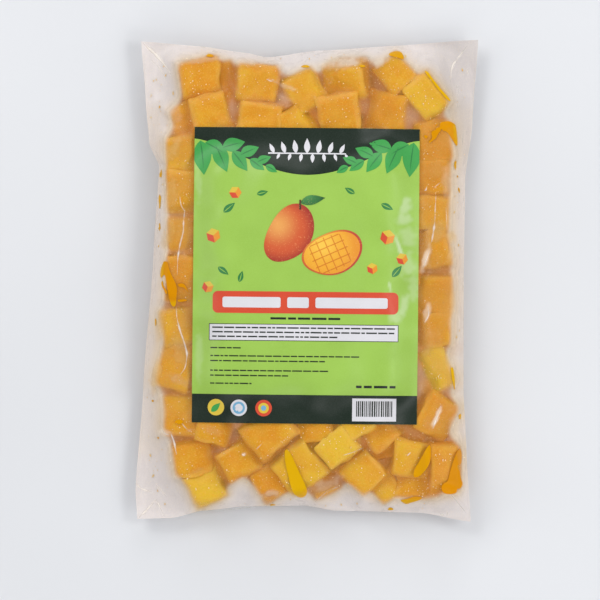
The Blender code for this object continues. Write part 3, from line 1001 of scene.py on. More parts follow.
    def wrinkled(self, x: Array, y: Array, from_edge: Array) -> Array:
        """Small waves of the free film, in three sizes, which die out at the rim."""
        shy = smooth_step(from_edge / 6.0)
        broad = 0.30 * soft_noise(x, y, 17.0, 3)
        broad += 0.20 * soft_noise(x * 0.6 + y * 0.8, y * 0.6 - x * 0.8, 9.0, 4)
        sharp = 0.16 * (1.0 - 2.0 * np.abs(soft_noise(x * 0.8 - y * 0.6, (y * 0.8 + x * 0.6) * 0.4, 7.0, 5)))
        return shy * (broad + sharp)

    def draw(self) -> None:
        """Draws both sheets, from the coarsest grid to the finest, and keeps maps for the looks."""
        boxes = self.fill.boxes()
        upper = lower = None
        for refine, passes in self.levels:
            x, y, from_edge = self.plan(refine)
            skirted, _, lowest, owner = self.fill.surfaces(boxes, x, y)
            rim = self.rim(x, y)
            floor = np.where(np.isfinite(skirted), skirted + self.fill.clearance, 0.0)
            floor = np.minimum(floor, rim + self.rim_slope * from_edge)
            label = self.under_label(refine)
            cell = 2.0 * self.label_half_width / (refine * self.label_cells[0])
            floor[label] = self.bridged(floor[label], cell)
            under = np.maximum(lowest - self.fill.clearance, 0.0)
            ceiling = np.where(np.isfinite(lowest), under, self.fill.pack_height)
            upper = np.maximum(rim if upper is None else self.finer(upper), floor)
            lower = np.minimum(rim if lower is None else self.finer(lower), ceiling)
            for edge in ((0, slice(None)), (-1, slice(None)), (slice(None), 0), (slice(None), -1)):
                upper[edge] = lower[edge] = rim[edge]
            upper = self.drawn_tight(upper, x, y, floor, np.full(x.shape, np.inf), self.pull, passes)
            lower = self.drawn_tight(lower, x, y, np.zeros(x.shape), ceiling, self.table_pull, passes)
        upper = blurred(upper, 3)
        free = np.ones(x.shape)
        free[label] = 0.0
        upper += blurred(free, 6) * self.wrinkled(x, y, from_edge)
        self.x, self.y = x, y
        self.lower = np.maximum(lower, 0.0)
        self.upper = np.maximum(upper, self.lower + self.rim_thickness)
        coarse_x, coarse_y, _ = self.plan(1)
        self.middle = np.array([coarse_x.max() + coarse_x.min(), coarse_y.max() + coarse_y.min()]) / 2.0
        covered = (owner >= 0).astype(float)
        hidden = (np.abs(x) < self.label_half_width) & (y > self.label_bottom) & (y < self.label_top)
        heap = -grown(-grown(np.maximum(covered, hidden), self.closed_gap), self.closed_gap + 1)
        heap = np.where(from_edge < self.bare_rim, np.minimum(heap, covered), heap)
        ripeness = np.where(owner >= 0, boxes.ripeness[owner], 0.45)
        self.maps = {
            "covered": covered,
            "heap": heap,
            "filled": blurred(covered, 90),
            "from_edge": from_edge,
            "ripeness": ripeness,
        }
        log.info("film drawn: %d by %d points", *x.shape)

    def sampled(self, values: Array, x: Array, y: Array) -> Array:
        """Values of the sheet's grid at any places, found by undoing the spread step by step.

        Args:
            values: One number for each grid point.
            x: Places across.
            y: Places along.

        Returns:
            One number for each place.
        """
        u, v = x.copy(), y.copy()
        for _ in range(12):
            across, along = self.spread(u, v)
            u, v = x - across, y - along
        columns, rows = self.lines(self.levels[-1][0])
        i, j = (np.interp(at, lines, np.arange(len(lines))) for at, lines in ((u, columns), (v, rows)))
        a, b = np.minimum(i.astype(int), len(columns) - 2), np.minimum(j.astype(int), len(rows) - 2)
        s, t = i - a, j - b
        near = values[a, b] * (1 - s) + values[a + 1, b] * s
        far = values[a, b + 1] * (1 - s) + values[a + 1, b + 1] * s
        return near * (1 - t) + far * t

    def beyond_label(self, x: Array, y: Array, margin: float) -> Array:
        """True where a place lies more than the margin outside the label."""
        beside = np.abs(x) > self.label_half_width + margin
        return beside | (y > self.label_top + margin) | (y < self.label_bottom - margin)

    def centred(self, skin: Skin) -> Skin:
        """A skin moved from the bag's plan to its place over the origin."""
        return skin._replace(points=skin.points - np.append(self.middle, 0.0))


@dataclass(frozen=True)
class FilmTones:
    """The colours that the haze takes, from what lies under it. The hollow and gap tones are painted shade,
    tinted like the fruit deeper down.
    """

    orange: tuple = (0.74, 0.30, 0.022)
    yellow: tuple = (0.78, 0.48, 0.07)
    hollow_shade: tuple = (0.52, 0.160, 0.025)
    deep_gap_shade: tuple = (0.58, 0.31, 0.18)
    tight_gap_shade: tuple = (0.53, 0.19, 0.05)
    cloudy: tuple = (0.80, 0.50, 0.20)
    warm: tuple = (0.83, 0.67, 0.49)
    cold: tuple = (0.81, 0.745, 0.72)


class CloudTone(Enum):
    """The colours of soft patches in the film and on the label."""

    MILK = (0.76, 0.66, 0.54)
    GLARE = (0.95, 0.83, 0.68)
    THIN_JUICE = (0.76, 0.48, 0.17)
    SHADE = (0.56, 0.25, 0.05)
    SHINE = (0.80, 0.86, 0.70)


class Cloud(NamedTuple):
    """A soft patch in film or print: its middle, half sizes, turn in degrees, colour and how dense it is."""

    x: float
    y: float
    wide: float
    long: float
    turn: float
    tone: CloudTone
    share: float

    def density(self, x: Array, y: Array) -> Array:
        """How dense the patch is at each place: its share times a smooth step down to its ragged edge."""
        cos, sin = np.cos(np.radians(self.turn)), np.sin(np.radians(self.turn))
        dx, dy = x - self.x, y - self.y
        out = np.hypot((dx * cos + dy * sin) / self.wide, (dy * cos - dx * sin) / self.long)
        out += 0.3 * soft_noise(x, y, 2.4, 41)
        return self.share * smooth_step((1.3 - out) / 0.9)


# Soft patches in the film: milky ones, glare, thin juice and shade
CLOUDS = (
    Cloud(-10, 116, 6.8, 1.6, -20, CloudTone.GLARE, 0.42),
    Cloud(-19, 119.5, 4, 1.2, -25, CloudTone.GLARE, 0.35),
    Cloud(23.5, 130.5, 11, 3.6, 13, CloudTone.MILK, 0.8),
    Cloud(45, 130.6, 5, 2.6, 35, CloudTone.MILK, 0.6),
    Cloud(-62, 132, 10, 1.6, 8, CloudTone.MILK, 0.35),
    Cloud(-78, 101, 4, 8, 10, CloudTone.MILK, 0.3),
    Cloud(-79, 79, 3.5, 7, -25, CloudTone.THIN_JUICE, 0.6),
    Cloud(-80, 52, 4, 11, 3, CloudTone.THIN_JUICE, 0.5),
    Cloud(-81, 30, 3, 7, 0, CloudTone.THIN_JUICE, 0.35),
    Cloud(-87, -26, 3.2, 10.5, -6, CloudTone.THIN_JUICE, 0.45),
    Cloud(-89.5, -56, 3.0, 11, -12, CloudTone.THIN_JUICE, 0.55),
    Cloud(-75, -42, 5.5, 11, 6, CloudTone.THIN_JUICE, 0.5),
    Cloud(-76, -59, 8, 3, -25, CloudTone.MILK, 0.3),
    Cloud(-85, -90.5, 4.5, 1.8, -10, CloudTone.GLARE, 0.5),
    Cloud(-69.5, -89.5, 2.6, 1.4, 15, CloudTone.GLARE, 0.3),
    Cloud(-57, -89, 8, 3, -20, CloudTone.GLARE, 0.22),
    Cloud(-37.2, -104, 1.8, 1.2, 30, CloudTone.GLARE, 0.8),
    Cloud(-21, -127.5, 6, 2.6, 10, CloudTone.MILK, 0.6),
    Cloud(12, -123, 11, 4.5, 25, CloudTone.MILK, 0.42),
    Cloud(-66, -114, 6, 2, 18, CloudTone.THIN_JUICE, 0.4),
    Cloud(71.8, 13.5, 2.2, 8, -18, CloudTone.GLARE, 0.65),
    Cloud(72.5, -19, 2.3, 6.5, -8, CloudTone.GLARE, 0.5),
    Cloud(78.6, -81, 1.8, 7, -24, CloudTone.GLARE, 0.75),
    Cloud(87, 26, 3.2, 4, 0, CloudTone.THIN_JUICE, 0.55),
    Cloud(86.5, 15, 2.4, 6, -10, CloudTone.THIN_JUICE, 0.5),
    Cloud(84, 60, 3, 10, 0, CloudTone.MILK, 0.35),
    Cloud(78, 30, 5, 9, -6, CloudTone.THIN_JUICE, 0.5),
    Cloud(88, -12, 2, 9, 0, CloudTone.THIN_JUICE, 0.35),
    Cloud(72, -63, 4, 6, 20, CloudTone.SHADE, 0.5),
    Cloud(49, 100, 12, 12, 0, CloudTone.SHADE, 0.22),
    Cloud(78, 64, 9, 8, 0, CloudTone.SHADE, 0.12),
    Cloud(20, 99, 12, 12, 0, CloudTone.SHADE, 0.12),
    Cloud(-28, 119, 11, 10, 0, CloudTone.SHADE, 0.12),
    Cloud(-84.5, 24, 3, 6, 0, CloudTone.THIN_JUICE, 0.4),
    Cloud(60, -88, 9, 4, -25, CloudTone.SHADE, 0.3),
)

# Glare on the label's print
LABEL_SHINE = (
    Cloud(56.1, 19.2, 1.5, 8.5, 20, CloudTone.SHINE, 0.42),
    Cloud(61.0, 9.5, 5.5, 7.5, 0, CloudTone.SHINE, 0.24),
    Cloud(59.8, 44.5, 3.2, 6.0, -10, CloudTone.SHINE, 0.30),
    Cloud(58.6, 36.8, 5.0, 3.8, 0, CloudTone.SHINE, 0.28),
    Cloud(61.0, 26.7, 6.0, 6.5, 0, CloudTone.SHINE, 0.20),
    Cloud(58.4, -15.0, 2.6, 9.5, -15, CloudTone.SHINE, 0.30),
    Cloud(54.0, -21.5, 5.0, 3.6, 30, CloudTone.SHINE, 0.24),
    Cloud(64.4, -3.0, 3.5, 10.0, 0, CloudTone.SHINE, 0.18),
    Cloud(50.0, -3.4, 0.9, 3.6, 12, CloudTone.SHINE, 0.32),
    Cloud(-64.5, 60.0, 2.2, 14.0, 2, CloudTone.SHINE, 0.12),
    Cloud(-64.0, -45.0, 2.4, 16.0, 0, CloudTone.SHINE, 0.12),
)


@dataclass
class FilmDress:
    """What the film shows: haze that thins where it touches the fruit, the fruit's own colour, painted shade
    in gaps and hollows, and painted glare and shade patches.
    """

    film: Film
    tones: FilmTones = FilmTones()
    contact_haze: float = 0.14
    near_haze: float = 0.42
    face_haze: float = 0.5
    far_haze: float = 0.68
    margin_haze: float = 0.76
    outline_haze: float = 0.88
    beside_haze: float = 0.6
    least_fade: float = 0.55
    cloud_haze: float = 0.85
    rim_haze: float = 0.85
    rim_width: float = 1.1
    empty_gap: float = 14.0
    empty_ripeness: float = 0.2
    hollow_shade_share: float = 0.6
    softening: float = 0.7
    corner_shade: float = 0.13
    outline_shade: float = 0.14
    cloudy_share: float = 0.3
    back_haze: tuple[float, float] = (0.75, 0.06)
    rounding: float = 2.4

    def colours(self, boxes: Boxes) -> tuple[Array, Array, Array, Array, Array]:
        """What lies under each grid point of the upper sheet, and the colours that it gives the film.

        Args:
            boxes: The chunks.

        Returns:
            The gap between film and fruit, whether there is fruit, the colour of the clear margins, that
            colour with painted shade in the gaps between chunks, and the colour of what lies below, with
            painted shade where the film leaves the fruit.
        """
        film, tones = self.film, self.tones
        _, highest, _, owner = replace(film.fill, rounding=self.rounding).surfaces(boxes, film.x, film.y)
        covered = owner >= 0
        gap = np.where(covered, film.upper - highest, self.empty_gap)
        ripeness = np.where(covered, boxes.ripeness[owner], self.empty_ripeness)
        fruit = blend(tones.orange, tones.yellow, ripeness)
        # The margins: warmer near the fruit and along both sides, with painted shade at the upper right
        # corner
        flank = smooth_step((np.abs(film.x) - 84.0) / 6.0) * smooth_step((115.0 - np.abs(film.y)) / 15.0)
        pale = blend(tones.cold, tones.warm, smooth_step(film.maps["filled"] * 1.6 + 0.35 * flank))
        corner = smooth_step((film.x - 66.0) / 20.0) * smooth_step((film.y - 55.0) / 40.0)
        pale *= 1.0 - self.corner_shade * corner[..., None]
        # Gaps inside the heap take painted shade, and the fruit's colour sinks to painted shade as the film
        # leaves it
        inner = smooth_step((blurred(film.maps["heap"], 6) - 0.55) / 0.4)
        tight = smooth_step((blurred(film.maps["covered"], 60) - 0.35) / 0.35)
        # milky: the pale margin outside the heap, and painted gap shade inside it
        milky = blend(pale, blend(tones.deep_gap_shade, tones.tight_gap_shade, tight), inner)
        shade = self.hollow_shade_share * smooth_step((gap - 1.0) / 3.0)
        below = np.where(covered[..., None], blend(fruit, blend(milky, tones.hollow_shade, inner), shade), milky)
        soft, softer = blurred(below, 4), blurred(below, 16)
        below = blend(soft, softer, self.softening * smooth_step((gap - 1.5) / 6.0) * inner)
        return blurred(gap, 2), covered, pale, milky, below

    def values(self, boxes: Boxes) -> dict[str, Array]:
        """Glow and haze of each grid point of the upper sheet, from the gap between film and fruit.

        Args:
            boxes: The chunks.

        Returns:
            The named values, shaped as the grid.
        """
        film = self.film
        gap, covered, pale, milky, below = self.colours(boxes)
        # Haze thickens as the film leaves the fruit, in two steps
        haze = self.contact_haze + (self.near_haze - self.contact_haze) * smooth_step((gap - 0.5) / 3.0)
        haze += (self.far_haze - self.near_haze) * smooth_step((gap - 3.5) / 8.0)
        haze = np.where(covered, np.minimum(haze, self.face_haze), self.far_haze)
        # The heap's outline, and how far each point has left the heap
        sides = self.least_fade + (1.0 - self.least_fade) * smooth_step((np.abs(film.x) - 66.0) / 14.0)
        heap = blurred(film.maps["heap"], 20)
        outline = smooth_step(1.4 - np.abs(heap - 0.45) / 0.25) * sides
        heap += (blurred(heap, 30) - heap) * sides
        leaving = smooth_step((0.9 - heap) / 0.4)
        leaving = blurred(leaving * np.where(film.maps["heap"] > 0.5, sides, 1.0), 3)
        # Cloudy patches in the film beside the label
        beside = smooth_step((np.abs(film.x) - 64.0) / 9.0)
        beside = beside * smooth_step((100.0 - np.abs(film.y - 3.0)) / 12.0)
        beside = beside * (0.5 + 0.5 * soft_noise(film.x, film.y, 9.0, 31))
        veil = 0.02 + 0.2 * smooth_step((gap - 1.5) / 9.0)
        glow = blend(blend(below, milky, veil), self.tones.cloudy, self.cloudy_share * beside)
        glow = blend(glow, pale, leaving)
        haze += np.maximum(self.beside_haze - haze, 0.0) * beside
        haze = blurred(haze + (self.margin_haze - haze) * leaving, 2)
        haze = np.maximum(haze, self.outline_haze * outline)
        # Painted shade along the heap's outline
        glow *= 1.0 - self.outline_shade * outline[..., None]
        glow, haze = self.clouded(glow, haze)
        haze = np.maximum(haze, self.rim_haze * (1.0 - smooth_step(film.maps["from_edge"] / self.rim_width)))
        return {"glow": glow, "haze": haze}

    def clouded(self, glow: Array, haze: Array) -> tuple[Array, Array]:
        """Glow and haze with the soft patches laid over them, each densest in its middle."""
        for cloud in CLOUDS:
            dense = cloud.density(self.film.x, self.film.y)
            glow = blend(glow, cloud.tone.value, dense)
            haze = haze + np.maximum(self.cloud_haze - haze, 0.0) * dense
        return glow, haze

    def build(self, boxes: Boxes) -> bpy.types.Object:
        """Makes the film's piece, both sheets in one closed skin, and hides the plain solid under it.

        Args:
            boxes: The chunks.

        Returns:
            The film's object.
        """
        film = self.film
        skin = closed_block(film.x, film.y, film.upper, film.lower, lower_step=2)
        values = self.values(boxes)
        share, least = self.back_haze
        back = {"glow": values["glow"][::2, ::2], "haze": values["haze"][::2, ::2] * share + least}
        together = {
            "glow": np.concatenate([part["glow"].reshape(-1, 3) for part in (values, back)]),
            "haze": np.concatenate([part["haze"].ravel() for part in (values, back)]),
        }
        skin = film.centred(skin._replace(values=together))
        piece = make_piece("film", skin, FilmFinish().material(), SHARP_ANGLE)
        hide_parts("bag")
        return piece


# ---------------------------------------------------------------- the fruit


@dataclass
class Fruit:
    """The chunks as cut: rounded, uneven cuboids, each with its own taper, waves and colour."""

    film: Film
    rounding: float = 2.1
    fuller: float = 1.05
    taper: float = 0.08
    waves: int = 5
    wave_height: float = 0.34
    wave_lengths: tuple[float, float] = (7.0, 22.0)
    cuts: int = 2
    strip: tuple[float, float] = (1.5, 7.0)
    cut_softness: float = 0.7
    press: float = 0.42
    seed: int = 77

    @staticmethod
    def cube_skin(stations: Array) -> tuple[Array, Array]:
        """The surface points of a cube lattice and its quads, facing out.

        Args:
            stations: Places from -1 to 1 along each side.

        Returns:
            Points and faces.
        """
        n = len(stations)
        places = np.stack(np.meshgrid(*(np.arange(n),) * 3, indexing="ij"), axis=-1)
        outside = ((places == 0) | (places == n - 1)).any(-1)
        number = np.full((n, n, n), -1)
        number[outside] = np.arange(outside.sum())
        faces = []
        for axis in range(3):
            for side in (0, n - 1):
                sheet = np.take(number, side, axis=axis)
                corners = [sheet[:-1, :-1], sheet[1:, :-1], sheet[1:, 1:], sheet[:-1, 1:]]
                quads = np.stack(corners, axis=-1).reshape(-1, 4)
                faces.append(quads if (side > 0) != (axis == 1) else quads[:, ::-1])
        return stations[places[outside]], np.concatenate(faces)

    def cut_back(self, local: Array, half: Array, chance: np.random.Generator) -> Array:
        """Chunks with slanted cuts over their upper edges, as a knife leaves them.

        A point that lies e past a cut's plane goes back by (e + sqrt(e squared + s squared)) / 2, where s is
        the softness.

        Args:
            local: The chunks' points.
            half: The chunks' half sizes.
            chance: Draws where the cuts are, how steep and how wide.

        Returns:
            The points after the cuts.
        """
        count = len(local)
        for _ in range(self.cuts):
            around = np.radians(90.0 * chance.integers(0, 4, count) + chance.uniform(-14.0, 14.0, count))
            steep = np.radians(chance.uniform(18.0, 42.0, count))
            aside = np.sin(steep)
            way = np.stack([np.cos(around) * aside, np.sin(around) * aside, np.cos(steep)], axis=-1)
            reach = (np.abs(way) * half[:, 0]).sum(-1) - chance.uniform(*self.strip, count) * np.sin(steep)
            past = np.einsum("cpi,ci->cp", local, way) - reach[:, None]
            local = local - ((past + np.sqrt(past**2 + self.cut_softness**2)) / 2.0)[..., None] * way[:, None]
        return local

    def skins(self, boxes: Boxes, chosen: Array, stations: Array) -> Skin:
        """The chosen chunks as one skin.

        A point p of the cube, sized to the chunk, goes to q + r (p - q) / |p - q|, where q is p held inside
        the chunk shrunk by the rounding r. Then come a taper, slanted cuts, sine waves outwards, and the
        press of the film.

        Args:
            boxes: The chunks.
            chosen: Numbers of the ones to make.
            stations: Places of the lattice along each side.

        Returns:
            Their points, quads, ripeness, edge and grain.
        """
        cube, quads = self.cube_skin(stations)
        chance = np.random.default_rng(self.seed + len(chosen))
        count = len(chosen)
        half = boxes.halves[chosen][:, None, :] * [self.fuller, self.fuller, 1.0]
        radius = self.rounding * chance.uniform(0.75, 1.25, (count, 1, 1))
        p = cube[None] * half
        q = np.clip(p, -(half - radius), half - radius)
        out = p - q
        local = q + radius * out / np.maximum(np.linalg.norm(out, axis=-1, keepdims=True), 1e-9)
        share = local / half
        slopes = chance.uniform(-self.taper, self.taper, (count, 3, 3))
        slopes[:, [0, 1, 2], [0, 1, 2]] = 0.0
        swell, slant = (np.einsum("cij,cpj->cpi", slopes, places) for places in (share, local))
        local = local * (1.0 + swell * 0.8) + slant * 0.6
        local = self.cut_back(local, half, chance)
        outward = local / np.maximum(np.linalg.norm(local, axis=-1, keepdims=True), 1e-9)
        for _ in range(self.waves):
            way = chance.normal(size=(count, 1, 3))
            lengths = chance.uniform(*self.wave_lengths, (count, 1, 1))
            way *= 2.0 * np.pi / lengths / np.linalg.norm(way, axis=-1, keepdims=True)
            lift = self.wave_height * np.sin((local * way).sum(-1) + chance.uniform(0.0, 6.28, (count, 1)))
            local = local + outward * lift[..., None]
        world = np.einsum("cij,cpj->cpi", boxes.axes[chosen], local) + boxes.middles[chosen][:, None, :]
        edge = np.sort(np.abs(cube), axis=-1)[:, 1]
        edge = smooth_step((edge - 0.55) / 0.45)
        side = np.einsum("cpj,cj->cp", share, chance.normal(size=(count, 3)) * 0.10)
        values = {
            "ripeness": (boxes.ripeness[chosen][:, None] + side).ravel(),
            "edge": np.broadcast_to(edge, (count, len(edge))).ravel(),
            "grain": (local / 25.0 + chance.uniform(0.0, 9.0, (count, 1, 3))).reshape(-1, 3),
        }
        faces = (quads[None] + (np.arange(count) * len(cube))[:, None, None]).reshape(-1, 4)
        return Skin(self.pressed(world.reshape(-1, 3)), faces, values)

    def pressed(self, points: Array) -> Array:
        """Points held under the upper film and over the lower one, at least the press away."""
        x, y = points[:, 0], points[:, 1]
        ceiling = self.film.sampled(self.film.upper, x, y) - self.press
        floor = self.film.sampled(self.film.lower, x, y) + self.press * 0.6
        z = np.clip(points[:, 2], np.minimum(floor, ceiling), ceiling)
        return np.stack([x, y, z], axis=-1)

    def build(self, boxes: Boxes) -> list[bpy.types.Object]:
        """Makes the chunks round the label, those under it, the lower layer and the pieces in the gaps."""
        shown = len(ABOVE_LABEL) + len(RIGHT_OF_LABEL) + len(LEFT_OF_LABEL) + len(BELOW_LABEL)
        extra = self.film.fill.between(self.film)
        fine = np.array([-1, -0.965, -0.91, -0.84, -0.74, -0.62, -0.48, -0.32, -0.16])
        plain = np.array([-1, -0.92, -0.78, -0.5, -0.2])
        fine = np.concatenate([fine, [0.0], -fine[::-1]])
        plain = np.concatenate([plain, -plain[::-1]])
        material = FruitFinish().material()
        total = len(boxes.middles)
        made = []
        for name, source, first, last, stations in (
            ("chunks_round_label", boxes, 0, shown, fine),
            ("chunks_under_label", boxes, shown, boxes.upper, plain),
            ("chunks_lower_layer", boxes, boxes.upper, total, fine),
            ("chunks_between", extra, 0, extra.upper, plain),
        ):
            skin = self.skins(source, np.arange(first, last), stations)
            made.append(make_piece(name, self.film.centred(skin), material))
        return made


# ---------------------------------------------------------------- juice, beads and creases


class Smear(NamedTuple):
    """A small patch of juice: its middle, half sizes, turn in degrees and how ragged its outline is."""

    x: float
    y: float
    wide: float
    long: float
    turn: float
    ragged: float = 0.18


# Outlines of the juice that is pressed flat against the film
POOLS = (
    (
        (73.9, -97.9), (74.9, -99.8), (74.8, -108.7), (69.7, -115.8), (66.3, -117.9), (64.4, -117.5),
        (64.6, -113.7), (67.1, -109.5), (69.7, -104.9), (71.8, -100.8),
    ),
    (
        (92.2, -100.0), (93.2, -101.9), (93.7, -105.3), (93.0, -110.6), (90.5, -110.1), (91.1, -112.9),
        (92.4, -113.5), (92.8, -118.3), (94.1, -120.9), (93.9, -123.0), (92.0, -124.9), (90.7, -124.2),
        (90.1, -127.6), (82.7, -127.8), (80.8, -124.2), (82.3, -121.3), (85.2, -120.0), (85.7, -116.7),
        (87.3, -110.8), (89.9, -103.2),
    ),
    (
        (56.0, -131.4), (61.2, -130.6), (65.0, -129.1), (69.7, -129.7), (69.2, -131.0), (64.6, -132.7),
        (62.9, -133.1), (60.6, -134.1), (58.7, -133.5),
    ),
    (
        (-85.3, 11.8), (-83.0, 11.8), (-82.4, 8.6), (-81.2, 4.9), (-79.5, 1.5), (-78.1, -1.4),
        (-77.2, -4.3), (-77.5, -8.3), (-77.8, -13.5), (-78.6, -15.5), (-80.1, -15.2), (-81.2, -13.5),
        (-82.1, -10.0), (-82.6, -7.2), (-83.2, -4.3), (-83.6, -1.4), (-84.1, 1.5), (-84.6, 3.8),
        (-85.8, 3.2), (-86.7, 1.5), (-87.4, 2.6), (-87.4, 5.5), (-86.7, 8.4), (-85.8, 10.7),
    ),
    (
        (-86.9, -0.6), (-85.8, 0.3), (-85.5, -2.6), (-84.6, -4.3), (-83.0, -6.3), (-83.2, -8.0),
        (-84.4, -7.4), (-85.3, -4.9), (-86.5, -3.1),
    ),
    (
        (-77.0, -1.8), (-75.1, -1.4), (-72.8, -1.8), (-71.5, -4.5), (-70.4, -7.3), (-71.8, -5.0),
        (-73.6, -3.7), (-75.9, -3.6),
    ),
    ((-77.2, -11.4), (-75.1, -11.0), (-71.5, -11.0), (-71.3, -12.0), (-76.3, -12.7)),
    (
        (-12.8, -101.0), (-10.8, -100.7), (-8.0, -105.8), (-5.7, -111.0), (-3.2, -116.2), (-0.9, -121.2),
        (1.0, -125.8), (0.0, -129.0), (-3.2, -130.3), (-6.0, -129.0), (-8.0, -126.5), (-9.6, -121.2),
        (-10.7, -116.2), (-12.0, -111.0), (-12.8, -105.8),
    ),
    (
        (49.4, 136.3), (51.7, 137.7), (54.5, 138.3), (57.3, 137.6), (58.8, 134.8), (58.6, 132.8),
        (56.0, 133.7), (53.0, 134.5), (50.2, 135.1),
    ),
    (
        (70.8, 126.2), (73.2, 125.6), (75.0, 122.6), (78.7, 117.7), (82.4, 113.4), (86.6, 108.8),
        (86.6, 107.6), (84.5, 108.8), (81.1, 112.8), (77.5, 117.0), (75.0, 120.7), (72.9, 122.9),
    ),
    (
        (80.5, 94.9), (82.2, 95.5), (85.6, 96.0), (87.3, 95.3), (89.6, 94.0), (90.3, 91.3), (90.9, 85.6),
        (91.1, 82.2), (90.4, 80.7), (89.2, 82.4), (87.7, 84.8), (85.2, 88.8), (83.5, 90.0), (82.2, 90.0),
        (81.2, 91.5), (80.7, 90.0), (79.7, 89.0), (78.7, 87.3), (77.8, 85.4), (75.3, 83.7), (74.2, 82.7),
        (73.3, 83.5), (75.1, 84.8), (75.7, 86.2), (75.0, 89.4), (76.5, 90.2), (78.0, 90.7), (78.0, 92.1),
        (80.1, 91.9), (80.3, 93.4),
    ),
    ((-78.9, -84.3), (-76.8, -83.0), (-74.2, -83.2), (-73.6, -85.0), (-75.4, -86.0), (-77.9, -85.4)),
    ((-60.4, 135.2), (-58.0, 136.6), (-55.2, 135.6), (-55.6, 134.4), (-58.4, 134.3)),
    ((-3.4, 128.6), (-0.4, 129.8), (2.4, 128.6), (1.6, 127.8), (-2.2, 127.9)),
    ((31.0, 128.7), (33.8, 129.7), (36.2, 128.5), (33.6, 127.8)),
)

SMEARS = (
    Smear(89.6, 69.6, 0.8, 2.3, 0, 0.3),
    Smear(91.0, 62.7, 0.35, 0.8, 0, 0.2),
    Smear(91.9, 54.6, 0.45, 1.7, 8, 0.2),
    Smear(-87.2, 64.2, 0.8, 2.2, 0, 0.3),
    Smear(-87.8, 48.0, 0.7, 4.4, -3, 0.3),
    Smear(-87.9, 32.4, 0.6, 2.0, 0, 0.3),
    Smear(-90.2, -24.6, 0.5, 2.1, 0, 0.15),
    Smear(-92.1, -72.0, 0.6, 0.7, 0, 0.2),
    Smear(-88.8, -94.2, 0.5, 0.6, 0, 0.2),
    Smear(92.4, -81.3, 0.9, 1.6, 0, 0.2),
    Smear(88.2, -57.5, 1.0, 6.0, 7, 0.25),
    Smear(71.9, 86.5, 0.9, 1.1, 20, 0.25),
    Smear(78.1, 93.6, 0.45, 0.5, 0, 0.2),
    Smear(50.8, -137.0, 1.8, 0.8, 0, 0.2),
    Smear(-20.1, -134.6, 1.6, 0.5, 3, 0.2),
)

# Paths of the film's sharp folds, and how strong each is
CREASES = (
    ((-98, 143), (-91, 137), (-85, 130), (-81, 124), 1.5),
    ((-93, 133), (-88, 128), (-84, 121), 0.6),
    ((97, 141.6), (91.4, 134.1), (88.4, 130.6), (87.4, 126.6), (86.9, 119.6), 1.0),
    ((97.3, 127.4), (96.8, 124.4), 0.9),
    ((90.4, 117.6), (91.0, 115.6), 0.5),
    ((-75.6, 51), (-75.1, 45.6), (-73.4, 42.6), (-72.3, 41.4), 0.8),
    ((-72.6, 43.6), (-73.4, 34.8), (-73.4, 29.6), (-75.6, 21.6), (-76.8, 13.8), (-77.1, 3.6), 0.75),
    (
        (-77.8, -15.9), (-77.4, -22.2), (-75.6, -29.4), (-73.1, -36.4), (-71.1, -43.8), (-72.4, -52.4),
        (-75.6, -56.4), 0.8,
    ),
    ((-83.6, 40), (-84.4, 24), (-84, 16), 0.35),
    ((-81.1, -91.4), (-79.1, -96.4), (-77.6, -104.4), 1.0),
    ((-86.6, -87.4), (-85.6, -91.6), (-81.6, -92.4), 0.8),
    ((-76, -83), (-72, -88.6), (-68, -91), 0.5),
    ((-38.6, -103.6), (-36.4, -104.6), 0.9),
    ((72.4, 56.6), (71.9, 53.1), (70.9, 54.4), 0.8),
    ((80.4, 59.1), (76.4, 55.6), 0.4),
    ((77.9, 51.6), (77.4, 43.8), (77.2, 35.6), 0.65),
    ((77.2, 35.8), (76.4, 29.6), (75.2, 23.0), 1.0),
    ((83.7, 44.6), (84.2, 38), (84.4, 30.8), 0.4),
    ((74.6, 20), (72.6, 14), (70.0, 7.4), 0.8),
    ((72.9, -14.9), (73.8, -20.4), (70.8, -25.2), 0.9),
    ((81.0, -74.4), (78.9, -80.4), (76.0, -88.8), 1.1),
    ((94.4, 88.8), (94.0, 81.6), 0.5),
    ((94.6, 51.6), (94.6, 39.6), 0.4),
    ((92, 118), (91, 112), (90.8, 104), 0.35),
    ((-102.4, -121.4), (-99.6, -124.9), (-92.6, -126.9), 0.9),
    ((-90.6, -122.4), (-86.1, -126.9), (-83.6, -130.4), 0.8),
    ((-100.4, -142.2), (-94.6, -136.4), (-90.1, -131.4), 1.0),
    ((-90.1, -131.4), (-87.6, -136.4), (-85.3, -141.6), 0.9),
    ((21.9, -104.4), (28, -102.6), (34.4, -99.9), 0.5),
    ((5, -133), (12, -126.6), (20, -123), 0.5),
    ((60.4, -104.9), (62.9, -102.6), 0.6),
    ((80.4, -139.8), (83, -141), 1.0),
    ((84.6, -141.2), (85.4, -138.6), 0.7),
    ((86.4, -127.4), (91, -133), (96.4, -139.6), 0.5),
    ((-24, 121), (-20, 119.4), 0.6),
    ((-30, -101), (-26, -97), 0.5),
    ((-52, -138.2), (-30, -135.4), (-8, -133.4), 0.3),
)


def eased(outline: Array, passes: int = 2) -> Array:
    """A closed outline with its corners cut: each side keeps its middle half, pass by pass."""
    for _ in range(passes):
        after = np.roll(outline, -1, axis=0)
        near, far = outline * 0.75 + after * 0.25, outline * 0.25 + after * 0.75
        outline = np.stack([near, far], axis=1).reshape(-1, 2)
    return outline


def within(points: Array, outline: Array) -> Array:
    """Whether each point is inside an outline: a ray to +X crosses it an odd number of times."""
    ax, ay = outline.T
    bx, by = np.roll(outline, -1, axis=0).T
    px, py = points[:, :1], points[:, 1:]
    crosses = (ay > py) != (by > py)
    slope = (bx - ax) * (py - ay) / np.where(by == ay, 1e-9, by - ay) + ax
    return (crosses & (px < slope)).sum(axis=1) % 2 == 1


